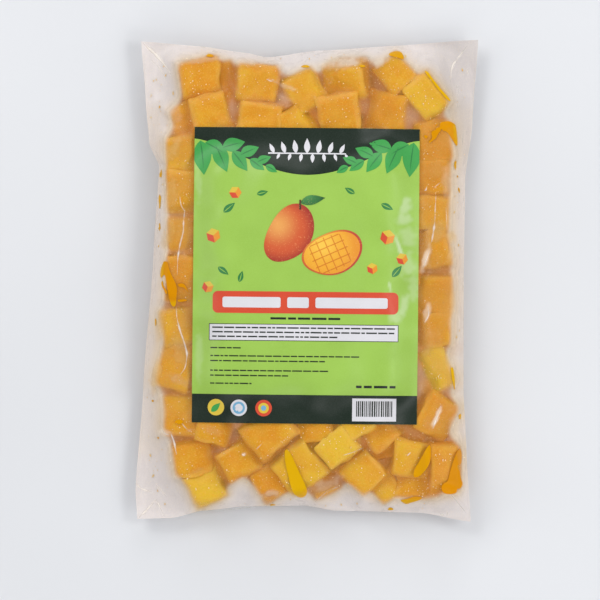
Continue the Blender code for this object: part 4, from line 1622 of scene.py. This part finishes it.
def laid_flat(outline: Array, step: float, height: Callable[[Array, Array], Array]) -> Skin:
    """A flat shape laid on a surface, facing up.

    The outline is cut into short steps, points are set inside it on a square grid, and all are joined into
    triangles that follow the surface.

    Args:
        outline: The shape in plan.
        step: The longest side of a triangle, about.
        height: The surface's height at any places.

    Returns:
        The shape's skin.
    """
    after = np.roll(outline, -1, axis=0)
    counts = np.maximum(1, np.ceil(np.linalg.norm(after - outline, axis=1) / step)).astype(int)
    edge = np.concatenate(
        [a + (b - a) * (np.arange(n) / n)[:, None] for a, b, n in zip(outline, after, counts)]
    )
    low, high = outline.min(axis=0), outline.max(axis=0)
    lines = [np.arange(l + step * 0.4, h, step) for l, h in zip(low, high)]
    grid = np.stack(np.meshgrid(*lines, indexing="ij"), axis=-1).reshape(-1, 2)
    if len(grid):
        clear = np.linalg.norm(grid[:, None] - edge[None], axis=-1).min(axis=1) > 0.35 * step
        grid = grid[clear & within(grid, edge)]
    places = [tuple(place) for place in np.concatenate([edge, grid])]
    points, _, triangles, *_ = delaunay_2d_cdt(places, [], [list(range(len(edge)))], 1, 1e-5)
    flat, faces = np.array([tuple(point) for point in points]), np.array(triangles)
    a, b, c = (flat[faces[:, k]] for k in range(3))
    facing = (b - a)[:, 0] * (c - a)[:, 1] - (b - a)[:, 1] * (c - a)[:, 0]
    faces[facing < 0] = faces[facing < 0][:, ::-1]
    return Skin(np.c_[flat, height(flat[:, 0], flat[:, 1])], faces)


def thickened(skin: Skin, depth: float) -> Skin:
    """A laid shape as a thin closed body: the shape, its copy facing down, and a wall round the edge.

    Args:
        skin: The shape, facing up.
        depth: How thick the body is.

    Returns:
        The body's skin, the upper side's points first.
    """
    count, faces = len(skin.points), skin.faces
    sides = np.concatenate([faces[:, [0, 1]], faces[:, [1, 2]], faces[:, [2, 0]]])
    inner = np.isin(sides[:, 0] * count + sides[:, 1], sides[:, 1] * count + sides[:, 0])
    a, b = sides[~inner].T
    walls = [np.stack(corners, axis=1) for corners in ((b, a, a + count), (b, a + count, b + count))]
    points = np.concatenate([skin.points, skin.points - (0.0, 0.0, depth)])
    values = {name: np.concatenate([numbers, numbers]) for name, numbers in skin.values.items()}
    return Skin(points, np.concatenate([faces, faces[:, ::-1] + count, *walls]), values)


@dataclass
class Wet:
    """Juice pressed flat on the film, drops of it in the margins, and beads of frost and air."""

    film: Film
    over_film: float = 0.4
    thickness: float = 0.3
    step: float = 1.0
    drops: int = 130
    drop_sizes: tuple[float, float] = (0.12, 0.32)
    beads: int = 1200
    bead_sizes: tuple[float, float] = (0.17, 0.28)
    bead_drop: float = 0.56
    seed: int = 5

    def surface(self, x: Array, y: Array) -> Array:
        """Height of the juice: just over the film, where it shows at full strength."""
        return self.film.sampled(self.film.upper, x, y) + self.over_film

    @staticmethod
    def outline(smear: Smear, chance: np.random.Generator, spokes: int) -> Array:
        """A ragged ellipse: radius 1 plus sines of 2, 3 and 5 turns, stretched and turned.

        Args:
            smear: The patch.
            chance: Draws the sines' phases.
            spokes: Points round it.

        Returns:
            The outline.
        """
        around = np.linspace(0.0, 2.0 * np.pi, spokes, endpoint=False)
        waves = 0.0
        for turns, weight in ((2, 0.5), (3, 0.5), (5, 0.4)):
            waves = waves + smear.ragged * weight * np.sin(turns * around + chance.uniform(0.0, 6.28))
        radius = 1.0 + waves
        a, b = radius * np.cos(around) * smear.wide, radius * np.sin(around) * smear.long
        cos, sin = np.cos(np.radians(smear.turn)), np.sin(np.radians(smear.turn))
        return np.c_[smear.x + a * cos - b * sin, smear.y + a * sin + b * cos]

    def pools(self) -> list[Array]:
        """Outlines of all juice that is more than a drop."""
        chance = np.random.default_rng(self.seed)
        pools = [eased(np.array(pool)) for pool in POOLS]
        return pools + [self.outline(smear, chance, 18) for smear in SMEARS]

    def scattered(
        self, count: int, chance: np.random.Generator, wanted: Callable[[Array, Array], Array]
    ) -> Array:
        """Places drawn evenly over the bag and kept where wanted says so.

        Args:
            count: How many to keep.
            chance: Draws them.
            wanted: Says from x and y, by a number from 0 to 1, how likely a place is kept.

        Returns:
            The kept places, one row each.
        """
        draws = chance.uniform([-96.0, -138.0], [96.0, 140.0], (count * 30, 2))
        kept = draws[chance.uniform(size=len(draws)) < wanted(draws[:, 0], draws[:, 1])]
        return kept[:count]

    def outside_label(self, x: Array, y: Array) -> Array:
        """True where the label doesn't cover the film."""
        return self.film.beyond_label(x, y, 1.0)

    def in_margin(self, x: Array, y: Array) -> Array:
        """How likely a drop is there: mostly where no fruit is under the film, near the bag's edge."""
        fruit = self.film.sampled(self.film.maps["covered"], x, y)
        edge = self.film.sampled(self.film.maps["from_edge"], x, y)
        return self.outside_label(x, y) * (edge > 1.8) * np.where(fruit < 0.3, 0.8, 0.03)

    def over_fruit(self, x: Array, y: Array) -> Array:
        """How likely a bead is there: over fruit and its gaps, in clusters."""
        fruit = self.film.sampled(self.film.maps["filled"], x, y)
        cluster = smooth_step((soft_noise(x, y, 9.0, 11) + 0.25) / 0.9)
        seam = 1.0 - np.abs(2.0 * self.film.sampled(blurred(self.film.maps["covered"], 5), x, y) - 1.0)
        return self.outside_label(x, y) * (fruit > 0.5) * (0.1 + 0.45 * cluster + 0.45 * seam)

    def bead(self, x: Array, y: Array, size: Array) -> Skin:
        """Beads as low domes of 8 spokes and two rings, each on its own spot under the film.

        Args:
            x: Places across.
            y: Places along.
            size: Radii.

        Returns:
            All beads in one skin.
        """
        around = np.linspace(0.0, 2.0 * np.pi, 8, endpoint=False)
        ring = np.stack([np.cos(around), np.sin(around)], axis=-1)
        inner, outer = np.c_[ring * 0.62, np.full(8, 0.7)], np.c_[ring, np.zeros(8)]
        shape = np.concatenate([[[0, 0, 1.0]], inner, outer, [[0, 0, -0.3]]])
        first = 1 + np.arange(8)
        after = np.roll(first, -1)
        faces = np.concatenate([
            np.stack([np.zeros(8, int), first, after], axis=1),
            np.stack([first, first + 8, after + 8], axis=1),
            np.stack([first, after + 8, after], axis=1),
            np.stack([np.full(8, 17), after + 8, first + 8], axis=1),
        ])
        z = self.surface(x, y) - self.bead_drop - size * 0.25
        sizes, places = np.stack([size, size, size * 0.45], axis=-1), np.stack([x, y, z], axis=-1)
        points = shape[None] * sizes[:, None] + places[:, None]
        offset = (np.arange(len(x)) * len(shape))[:, None, None]
        return Skin(points.reshape(-1, 3), (faces[None] + offset).reshape(-1, 3))

    def build(self) -> list[bpy.types.Object]:
        """Makes the pools, the drops and the beads."""
        chance = np.random.default_rng(self.seed + 1)
        pools = joined([laid_flat(pool, self.step, self.surface) for pool in self.pools()])
        ripeness = self.film.sampled(self.film.maps["ripeness"], pools.points[:, 0], pools.points[:, 1])
        pools = pools._replace(values={"ripeness": np.clip(1.8 * ripeness - 0.1, 0.0, 1.0)})
        places = self.scattered(self.drops, chance, self.in_margin)
        least, spread = self.drop_sizes
        drops = []
        for (x, y), size in zip(places, least + spread * chance.uniform(size=len(places)) ** 3):
            drop = Smear(x, y, size, size * chance.uniform(1.0, 2.6), chance.uniform(-25, 25), 0.2)
            drops.append(laid_flat(self.outline(drop, chance, 9), 2.0, self.surface))
        beads = self.scattered(self.beads, chance, self.over_fruit)
        least, spread = self.bead_sizes
        radii = least + spread * chance.uniform(size=len(beads)) ** 2.5
        made = []
        for name, skin, finish in (
            ("juice_pools", thickened(pools, self.thickness), Juice.POOL),
            ("juice_drops", thickened(joined(drops), self.thickness), Juice.DROP),
            ("frost_beads", self.bead(beads[:, 0], beads[:, 1], radii), Juice.BEAD),
        ):
            material = finish.value.material()
            made.append(make_piece(name, self.film.centred(skin), material, SHARP_ANGLE))
        return made


@dataclass
class Creases:
    """Sharp thin folds of the film, each a low ridge that runs out at both ends and catches the light, with a
    near-white painted highlight along it.
    """

    film: Film
    height: float = 0.12
    half_width: float = 1.1
    step: float = 0.8

    def ridge(self, path: tuple) -> Skin:
        """A closed ridge along a path: its section is a low arch, sized by the sine of how far along it is.

        Args:
            path: Points in plan, and last the ridge's strength.

        Returns:
            Its skin, with glow and haze.
        """
        corners, strength = np.array(path[:-1], float), path[-1]
        lengths = np.append(0.0, np.cumsum(np.linalg.norm(np.diff(corners, axis=0), axis=1)))
        along = np.linspace(0.0, lengths[-1], max(6, int(lengths[-1] / self.step)))
        line = np.stack([np.interp(along, lengths, corners[:, k]) for k in (0, 1)], axis=-1)
        for _ in range(6):
            line[1:-1] = line[1:-1] / 2.0 + (line[:-2] + line[2:]) / 4.0
        way = np.gradient(line, axis=0)
        way /= np.linalg.norm(way, axis=1, keepdims=True)
        size = np.sin(np.linspace(0.05, np.pi - 0.05, len(line))) ** 0.5 * strength
        size *= 0.8 + 0.45 * soft_noise(line[:, 0], line[:, 1], 2.6, 21)
        across = np.linspace(-1.0, 1.0, 7)
        arch = (1.0 - across**2) ** 2
        x = line[:, :1] - way[:, 1:] * across * (self.half_width * size)[:, None]
        y = line[:, 1:] + way[:, :1] * across * (self.half_width * size)[:, None]
        base = self.film.sampled(self.film.upper, x.ravel(), y.ravel()).reshape(x.shape) + 0.03
        upper = base + arch * (self.height * size)[:, None] + 0.02
        skin = closed_block(x, y, upper, base - 0.06)
        haze = (0.02 + 0.7 * arch * np.minimum(1.0, size + 0.1)[:, None]).ravel()
        # Near-white glow: a painted highlight along the ridge
        glow = np.full((2 * x.size, 3), 0.98) * [1.0, 0.93, 0.84]
        return skin._replace(values={"glow": glow, "haze": np.concatenate([haze, haze * 0.2])})

    def build(self) -> bpy.types.Object:
        """Makes all ridges as one piece."""
        skin = self.film.centred(joined([self.ridge(path) for path in CREASES]))
        finish = FilmFinish("film_crease", roughness=0.36, ior=1.6, wrinkle_mm=0.05)
        return make_piece("film_creases", skin, finish.material())


# ---------------------------------------------------------------- the label


def bar(x0: float, y0: float, x1: float, y1: float, radius: float = 0.0) -> Array:
    """A rectangle's outline, its corners rounded by quarter circles of that radius."""
    if radius <= 0.0:
        return np.array([(x0, y0), (x1, y0), (x1, y1), (x0, y1)])
    quarter = np.linspace(0.0, np.pi / 2, 6)
    left, right, low, high = x0 + radius, x1 - radius, y0 + radius, y1 - radius
    corners = ((right, low, -np.pi / 2), (right, high, 0.0), (left, high, np.pi / 2), (left, low, np.pi))
    arcs = [
        np.c_[cx + radius * np.cos(start + quarter), cy + radius * np.sin(start + quarter)]
        for cx, cy, start in corners
    ]
    return np.concatenate(arcs)


def disc(x: float, y: float, radius: float, squeeze: float = 1.0) -> Array:
    """A circle's outline, or an ellipse's that is squeeze times as high as wide."""
    around = np.linspace(0.0, 2.0 * np.pi, 40, endpoint=False)
    return np.c_[x + radius * np.cos(around), y + radius * squeeze * np.sin(around)]


def spun(local: Array, x: float, y: float, turn: float) -> Array:
    """Points turned by so many degrees about the origin and then moved to x, y."""
    cos, sin = np.cos(np.radians(turn)), np.sin(np.radians(turn))
    return np.c_[x + local[:, 0] * cos - local[:, 1] * sin, y + local[:, 0] * sin + local[:, 1] * cos]


def blade(x: float, y: float, length: float, width: float, turn: float, bend: float = 0.0) -> Array:
    """A pointed leaf's outline: half width times the sine of pi t to the 0.8, bent sideways by t squared.

    Args:
        x: Foot across.
        y: Foot along.
        length: From foot to tip.
        width: At its widest.
        turn: Degrees from +X to its axis.
        bend: Sideways shift of the tip.

    Returns:
        The outline.
    """
    t = np.linspace(0.0, 1.0, 16)
    wide = width / 2.0 * np.sin(np.pi * t**0.8)
    upper, lower = np.c_[t * length, wide + bend * t**2], np.c_[t * length, -wide + bend * t**2]
    return spun(np.concatenate([lower, upper[-2:0:-1]]), x, y, turn)


def mango(x: float, y: float, size: float, turn: float) -> Array:
    """A mango's outline: a circle squeezed to an egg, fuller on one side and drawn to a blunt beak."""
    around = np.linspace(0.0, 2.0 * np.pi, 64, endpoint=False)
    fuller, longer = 0.10 * np.cos(around), 0.07 * np.cos(2.0 * around + 0.5)
    radius = size * (1.0 + fuller + longer + 0.035 * np.sin(3.0 * around))
    return spun(np.c_[radius * np.cos(around) * 1.12, radius * np.sin(around) * 0.86], x, y, turn)


# Leaves along the head's foot: place across, how far under the foot, turn, length and width
GARLAND = (
    (66.0, 1.0, -100, 21, 11.0),
    (63.0, 1.5, 205, 15, 9.0),
    (57.0, 1.0, -118, 18, 9.5),
    (52.5, 1.0, 160, 14, 8.5),
    (46.5, 0.5, -132, 15, 8.0),
    (41.5, 0.5, 150, 12, 7.0),
    (36.0, 0.5, -150, 11, 6.0),
    (31.5, 0.3, 150, 9, 5.2),
    (26.5, 0.3, -160, 8, 4.4),
)
# Small leaves and dice on the field: place, turn and size
FIELD_LEAVES = (
    (-50, 41, 40, 9),
    (45, 47, -25, 8),
    (-53, 8, -35, 8),
    (52, 3, 50, 9),
    (-30, 52, 15, 7),
    (29, 53, 150, 7),
    (-40, -1, 75, 7),
)
FIELD_DICE = (
    (-56, 27, 12, 4.4),
    (49, 27, -15, 4.6),
    (-43, 53, 30, 3.8),
    (58, 14, 20, 3.6),
    (-59, -4, -20, 3.6),
    (40, 8, 8, 3.4),
)


class Spot(NamedTuple):
    """Where a painted shape is shaded from: its middle and radius."""

    x: float
    y: float
    size: float


class Tones(Enum):
    """A painted shape's tone in the middle, at the light side and at the shaded side."""

    WHOLE = ((0.62, 0.10, 0.03), (0.80, 0.36, 0.09), (0.30, 0.02, 0.02))
    SKIN = ((0.68, 0.16, 0.03), (0.78, 0.33, 0.05), (0.50, 0.05, 0.03))
    FLESH = ((0.84, 0.40, 0.03), (0.90, 0.56, 0.07), (0.76, 0.28, 0.02))
    STALK = ((0.06, 0.03, 0.01), (0.12, 0.06, 0.02), (0.03, 0.015, 0.01))
    LEAF = ((0.03, 0.16, 0.04), (0.08, 0.30, 0.08), (0.01, 0.07, 0.02))
    CUT = ((0.66, 0.20, 0.015), (0.72, 0.26, 0.02), (0.6, 0.16, 0.01))


@dataclass
class Label:
    """The printed label: a thin block stuck on the film, and flat shapes of ink laid on it."""

    film: Film
    gap: float = 0.15
    thickness: float = 0.25
    scale: float = 0.992
    ink_gap: float = 0.07
    ink_step: float = 0.045
    ink_depth: float = 0.04
    mesh_step: float = 1.8
    turn: float = 0.6
    middle: tuple[float, float] = (-0.15, 3.1)
    smooth_passes: int = 14
    seed: int = 9
    face: Array = field(init=False)

    def __post_init__(self) -> None:
        """Works out the label's own smooth surface over the film."""
        film = self.film
        across, along = film.under_label(film.levels[-1][0])
        wide, long = film.upper.shape
        beyond = ((across.start, wide - across.stop), (along.start, long - along.stop))
        upper = np.pad(film.upper[across, along], beyond, mode="edge")
        calm = np.maximum(blurred(upper, self.smooth_passes), upper)
        self.face = blurred(calm, 6) + self.gap + self.thickness

    def placed(self, local: Array) -> Array:
        """Places on the upright label carried to the bag, where it sits a little turned."""
        middle = np.array([0.0, (self.film.label_top + self.film.label_bottom) / 2.0])
        return spun((local - middle) * self.scale, *self.middle, -self.turn)

    def height(self, x: Array, y: Array) -> Array:
        """Height of the label's face."""
        return self.film.sampled(self.face, x, y)

    def sheet(self) -> Skin:
        """The label's closed block: its face on all lines of the film's grid, its back on every second."""
        film = self.film
        across, along = film.under_label(film.levels[-1][0])
        columns, rows = film.lines(film.levels[-1][0])
        u, v = np.meshgrid(columns[across], rows[along], indexing="ij")
        x, y = self.placed(np.stack([u.ravel(), v.ravel()], axis=-1)).T
        top = self.height(x, y).reshape(u.shape)
        return closed_block(x.reshape(u.shape), y.reshape(u.shape), top, top - self.thickness, lower_step=2)

    def build(self) -> list[bpy.types.Object]:
        """Makes the label's block and its print."""
        material = Ink.FIELD.value.material()
        block = self.sheet()
        x, y = block.points[:, 0], block.points[:, 1]
        shine = np.maximum.reduce([cloud.density(x, y) for cloud in LABEL_SHINE])
        block = self.film.centred(block._replace(values={"shine": shine}))
        sheet = make_piece("label_sheet", block, material, SHARP_ANGLE)
        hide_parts("label")
        made = [sheet]
        layers: dict[Ink, list[Skin]] = {}
        for ink, outline, level in self.design():
            layers.setdefault(ink, []).append(self.draped(outline, level))
        for ink, skins in layers.items():
            skin = self.film.centred(joined(skins))
            finish = material if ink is Ink.FIELD else ink.value.material()
            made.append(make_piece("print_" + ink.name.lower(), skin, finish, SHARP_ANGLE))
        made.append(self.painted_fruit())
        return made

    def draped(self, outline: Array, level: int) -> Skin:
        """A shape of ink laid on the label's face, above the inks of lower levels."""
        lift = self.ink_gap + self.ink_step * (level - 1)
        flat = laid_flat(self.placed(outline), self.mesh_step, lambda x, y: self.height(x, y) + lift)
        return thickened(flat, self.ink_depth)

    def words(self, x0: float, x1: float, y: float, tall: float, chance: np.random.Generator) -> list[Array]:
        """A line of small bars of chance lengths, which stands where a line of print would.

        Args:
            x0: Its left end.
            x1: Its right end.
            y: Its middle height.
            tall: The bars' height.
            chance: Draws the lengths.

        Returns:
            The bars' outlines.
        """
        made, x = [], x0
        while x < x1 - 1.0:
            end = min(x + tall * chance.uniform(2.0, 8.0), x1)
            made.append(bar(x, y - tall / 2.0, end, y + tall / 2.0))
            x = end + tall * 0.9
        return made

    def arch(self, across: Array) -> Array:
        """Height of the head's curved foot: lowest in the middle, by a cosine to the power 1.5."""
        return 85.5 - 21.5 * np.cos(across / self.film.label_half_width * np.pi / 2.0) ** 1.5

    def garland(self, put: Callable[..., None]) -> None:
        """Adds broad leaves along the head's foot, large at both corners and small towards the middle."""
        for side in (-1, 1):
            for x, drop, turn, length, width in GARLAND:
                y = float(self.arch(np.array(min(x, 67.0)))) - drop
                angle = turn if side > 0 else 180 - turn
                put(Ink.LEAF, blade(side * (x - 1.5), y, length, width, angle, side * 1.2), 2)
                put(Ink.VEIN, blade(side * (x - 1.5), y, length * 0.84, 0.8, angle, side * 0.9), 3)

    def sprig(self, put: Callable[..., None]) -> None:
        """Adds a pale sprig across the head, with paired leaves that get smaller to both ends."""
        put(Ink.WHITE, bar(-23.5, 76.6, 23.5, 77.4, 0.3), 2)
        for step in np.arange(-3, 4):
            length = 9.0 - 0.9 * abs(step)
            lean = 90 - 9 * step
            put(Ink.WHITE, blade(step * 6.6, 77.2, length, length * 0.40, lean), 2)
            put(Ink.WHITE, blade(step * 6.6 + 3.3, 76.8, length * 0.62, length * 0.27, -lean), 2)

    def design(self) -> list[tuple[Ink, Array, int]]:
        """The print, from its head to its foot.

        A dark head holds a garland and a sprig. Leaves and dice lie on the field, over a red banner, a ruled
        panel and lines of bars. A dark foot holds plain discs and a striped panel.

        Returns:
            Each shape's ink, outline and level.
        """
        chance = np.random.default_rng(self.seed)
        half, top, foot = self.film.label_half_width, self.film.label_top, self.film.label_bottom
        shapes: list[tuple[Ink, Array, int]] = []

        def put(ink: Ink, outline: Array, level: int = 1) -> None:
            """Adds one shape."""
            inside = np.clip(outline, (-half + 0.03, foot + 0.03), (half - 0.03, top - 0.03))
            shapes.append((ink, inside, level))

        across = np.linspace(-half, half, 40)
        put(Ink.HEAD, np.concatenate([np.c_[across, self.arch(across)], [(half, top), (-half, top)]]))
        self.garland(put)
        self.sprig(put)
        for x, y, turn, size in FIELD_LEAVES:
            put(Ink.VEIN, blade(x, y, size, size * 0.46, turn))
            put(Ink.FIELD, blade(x, y, size * 0.9, 0.45, turn), 2)
        for x, y, turn, size in FIELD_DICE:
            self.dice(put, x, y, size, turn)
        put(Ink.RED, bar(-56, -19.6, 56, -6.4, 3.2))
        for x0, x1 in ((-50, -15), (-11, 2), (6, 49.5)):
            put(Ink.WHITE, bar(x0, -16.2, x1, -9.8, 1.2), 2)
        for outline in self.words(-21, 21, -22.6, 1.3, chance):
            put(Ink.BLACK, outline)
        put(Ink.BLACK, bar(-58, -36.2, 56.2, -26.0))
        put(Ink.WHITE, bar(-57.6, -35.8, 55.8, -26.4), 2)
        for y in (-28.3, -31.0, -33.7):
            for outline in self.words(-56, 54 if y > -33 else 20, y, 0.85, chance):
                put(Ink.BLACK, outline, 3)
        for y, end in ((-40.6, -38), (-45.4, 34), (-48.4, 12), (-54.2, 14), (-57.2, -10), (-62.0, -32)):
            for outline in self.words(-57, end, y, 0.75, chance):
                put(Ink.BLACK, outline)
        for outline in self.words(31, 57, -63.4, 1.5, chance):
            put(Ink.BLACK, outline)
        put(Ink.HEAD, bar(-half, foot, half, -68.6))
        put(Ink.YELLOW, disc(-53.4, -76.6, 5.0), 2)
        put(Ink.LEAF, blade(-56.2, -79.4, 7.6, 3.6, 45), 3)
        put(Ink.WHITE, disc(-39.6, -76.8, 5.0), 2)
        put(Ink.BLUE, disc(-39.6, -76.8, 3.7), 3)
        put(Ink.WHITE, disc(-39.6, -76.8, 2.4), 4)
        put(Ink.RED, disc(-24.6, -76.8, 5.0), 2)
        put(Ink.YELLOW, disc(-24.6, -76.8, 3.2), 3)
        put(Ink.BLUE, disc(-24.6, -76.8, 1.6), 4)
        put(Ink.WHITE, bar(28.8, -84.2, 55.4, -70.4), 2)
        x = 31.2
        while x < 52.6:
            wide = chance.uniform(0.35, 1.0)
            put(Ink.BLACK, bar(x, -81.4, min(x + wide, 53.0), -72.0), 3)
            x += wide + chance.uniform(0.35, 0.8)
        return shapes

    @staticmethod
    def dice(put: Callable[..., None], x: float, y: float, size: float, turn: float) -> None:
        """Adds a small cube of fruit: three lozenges round its middle, on rays 120 degrees apart."""
        angles = np.radians([turn + 30.0, turn + 150.0, turn - 90.0])
        a, b, c = (size * np.array([np.cos(angle), np.sin(angle)]) for angle in angles)
        middle = np.array([x, y])
        for ink, one, other in ((Ink.YELLOW, a, b), (Ink.RED, b, c), (Ink.ORANGE, c, a)):
            put(ink, np.array([middle, middle + one, middle + one + other, middle + other]))

    def painted_fruit(self) -> bpy.types.Object:
        """The picture in the middle: a whole mango behind a half that is scored into dice, with a leaf."""
        half, half_turn = (14.5, 16.5), 24.0
        shapes = [
            (mango(-11.0, 27.0, 16.0, 62.0), 2, Spot(-11.0, 27.0, 16.0), Tones.WHOLE),
            (mango(*half, 15.7, half_turn), 3, Spot(*half, 14.6), Tones.SKIN),
            (mango(*half, 14.6, half_turn), 4, Spot(*half, 14.6), Tones.FLESH),
            (bar(-4.4, 43.0, -3.2, 49.0, 0.4), 3, Spot(-4.0, 46.0, 4.0), Tones.STALK),
            (blade(-3.6, 47.0, 15.0, 6.0, 20.0, -2.0), 3, Spot(3.0, 49.0, 8.0), Tones.LEAF),
        ]
        for offset in np.arange(-9.0, 9.1, 4.5):
            reach = 13.4 * np.sqrt(1.0 - (offset / 15.5) ** 2)
            for cut in (
                bar(-reach * 0.86, offset - 0.3, reach * 0.86, offset + 0.3),
                bar(offset * 1.1 - 0.3, -reach * 0.8, offset * 1.1 + 0.3, reach * 0.8),
            ):
                shapes.append((spun(cut, *half, half_turn), 5, Spot(*half, 15.0), Tones.CUT))
        skin = self.film.centred(joined([self.toned(*shape) for shape in shapes]))
        return make_piece("print_fruit", skin, ShadedPrintFinish().material(), SHARP_ANGLE)

    def toned(self, outline: Array, level: int, spot: Spot, tones: Tones) -> Skin:
        """A draped shape whose tone is bright towards the upper left and dark along the lower right.

        Args:
            outline: The shape in plan.
            level: How many inks lie under it, plus one.
            spot: Where it is shaded from.
            tones: Its tones.

        Returns:
            The shape's skin with its tone.
        """
        mid, bright, dark = tones.value
        skin = self.draped(outline, level)
        dx, dy = (skin.points[:, 0] - spot.x) / spot.size, (skin.points[:, 1] - spot.y) / spot.size
        light = smooth_step(1.0 - np.hypot(dx + 0.35, dy - 0.4) / 0.95)
        shade = smooth_step((np.hypot(dx + 0.25, dy - 0.25) - 0.75) / 0.65)
        return skin._replace(values={"tone": blend(blend(mid, bright, light), dark, shade)})


# ---------------------------------------------------------------- the studio


@dataclass
class Studio:
    """A pale floor, soft lights and a camera straight above the bag."""

    middle: Array
    frame_width: float = 0.36
    level: float = 0.02
    lens: float = 500.0
    sensor: float = 36.0
    shown_at: tuple[float, float] = (-0.0036, -0.0114)
    floor_half: float = 3.0
    floor_gap: float = 0.0005

    def build(self) -> None:
        """Builds the floor, the lights and the camera."""
        self.floor()
        world = bpy.data.worlds.new("studio")
        world.use_nodes = True
        world.node_tree.nodes["Background"].inputs["Color"].default_value = (0.93, 0.95, 1.0, 1.0)
        world.node_tree.nodes["Background"].inputs["Strength"].default_value = 0.33
        bpy.context.scene.world = world
        for name, place, size, power in (
            ("key", (-0.95, 1.05, 1.35), 0.9, 13.0),
            ("strip", (0.80, 0.1, 1.05), 0.4, 3.2),
            ("fill", (1.1, -1.0, 1.3), 1.0, 9.2),
            ("low_left", (-1.2, 0.0, 0.55), 0.7, 3.2),
            ("low_right", (1.2, 0.0, 0.55), 0.7, 2.6),
            ("low_top", (0.1, 1.2, 0.5), 0.7, 5.0),
            ("low_foot", (-0.1, -1.2, 0.5), 0.7, 3.4),
        ):
            self.light(name, place, size, power)
        self.camera()

    def floor(self) -> None:
        """A plain pale floor, slightly mottled, under everything."""
        material, tree, shader = new_material("studio_floor")
        tone = scaled(tree, noise(tree, object_place(tree), 300.0, 2.0), 0.3, 0.7, 0.0, 1.0)
        colour = mix_colour(tree, tone, (0.70, 0.71, 0.73, 1.0), (0.74, 0.75, 0.77, 1.0))
        set_inputs(tree, shader, {"Base Color": colour, "Roughness": 0.6})
        mesh = bpy.data.meshes.new("floor")
        half, low = self.floor_half, -self.floor_gap
        corners = [(-half, -half, low), (half, -half, low), (half, half, low), (-half, half, low)]
        mesh.from_pydata(corners, [], [(0, 1, 2, 3)])
        mesh.materials.append(material)
        floor = bpy.data.objects.new("floor", mesh)
        bpy.context.scene.collection.objects.link(floor)

    @staticmethod
    def light(name: str, place: tuple[float, float, float], size: float, power: float) -> None:
        """A square soft light that faces the bag."""
        lamp = bpy.data.lights.new(name, "AREA")
        lamp.size, lamp.energy = size, power
        made = bpy.data.objects.new(name, lamp)
        made.location = place
        away = np.array(place)
        tilt = np.arctan2(np.hypot(away[0], away[1]), away[2])
        made.rotation_euler = (tilt, 0.0, np.arctan2(away[0], -away[1]))
        bpy.context.scene.collection.objects.link(made)

    def camera(self) -> None:
        """A long lens straight above, which shows the frame's width at the level of the bag's middle."""
        lens = bpy.data.cameras.new("camera")
        lens.lens, lens.sensor_width = self.lens, self.sensor
        made = bpy.data.objects.new("camera", lens)
        away = self.lens * self.frame_width / self.sensor
        x, y = np.array(self.shown_at) - self.middle * METRES
        made.location = (x, y, self.level + away)
        bpy.context.scene.collection.objects.link(made)
        bpy.context.scene.camera = made


def main() -> None:
    """Builds the bag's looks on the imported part, piece by piece."""
    logging.basicConfig(level=logging.INFO, format="%(message)s")
    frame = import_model()
    bpy.context.scene.view_settings.view_transform = "Standard"
    fill = Fill()
    film = Film(fill)
    film.draw()
    boxes = fill.boxes()
    FilmDress(film).build(boxes)
    Fruit(film).build(boxes)
    Wet(film).build()
    Creases(film).build()
    Label(film).build()
    Studio(film.middle).build()


if __name__ == "__main__":
    main()
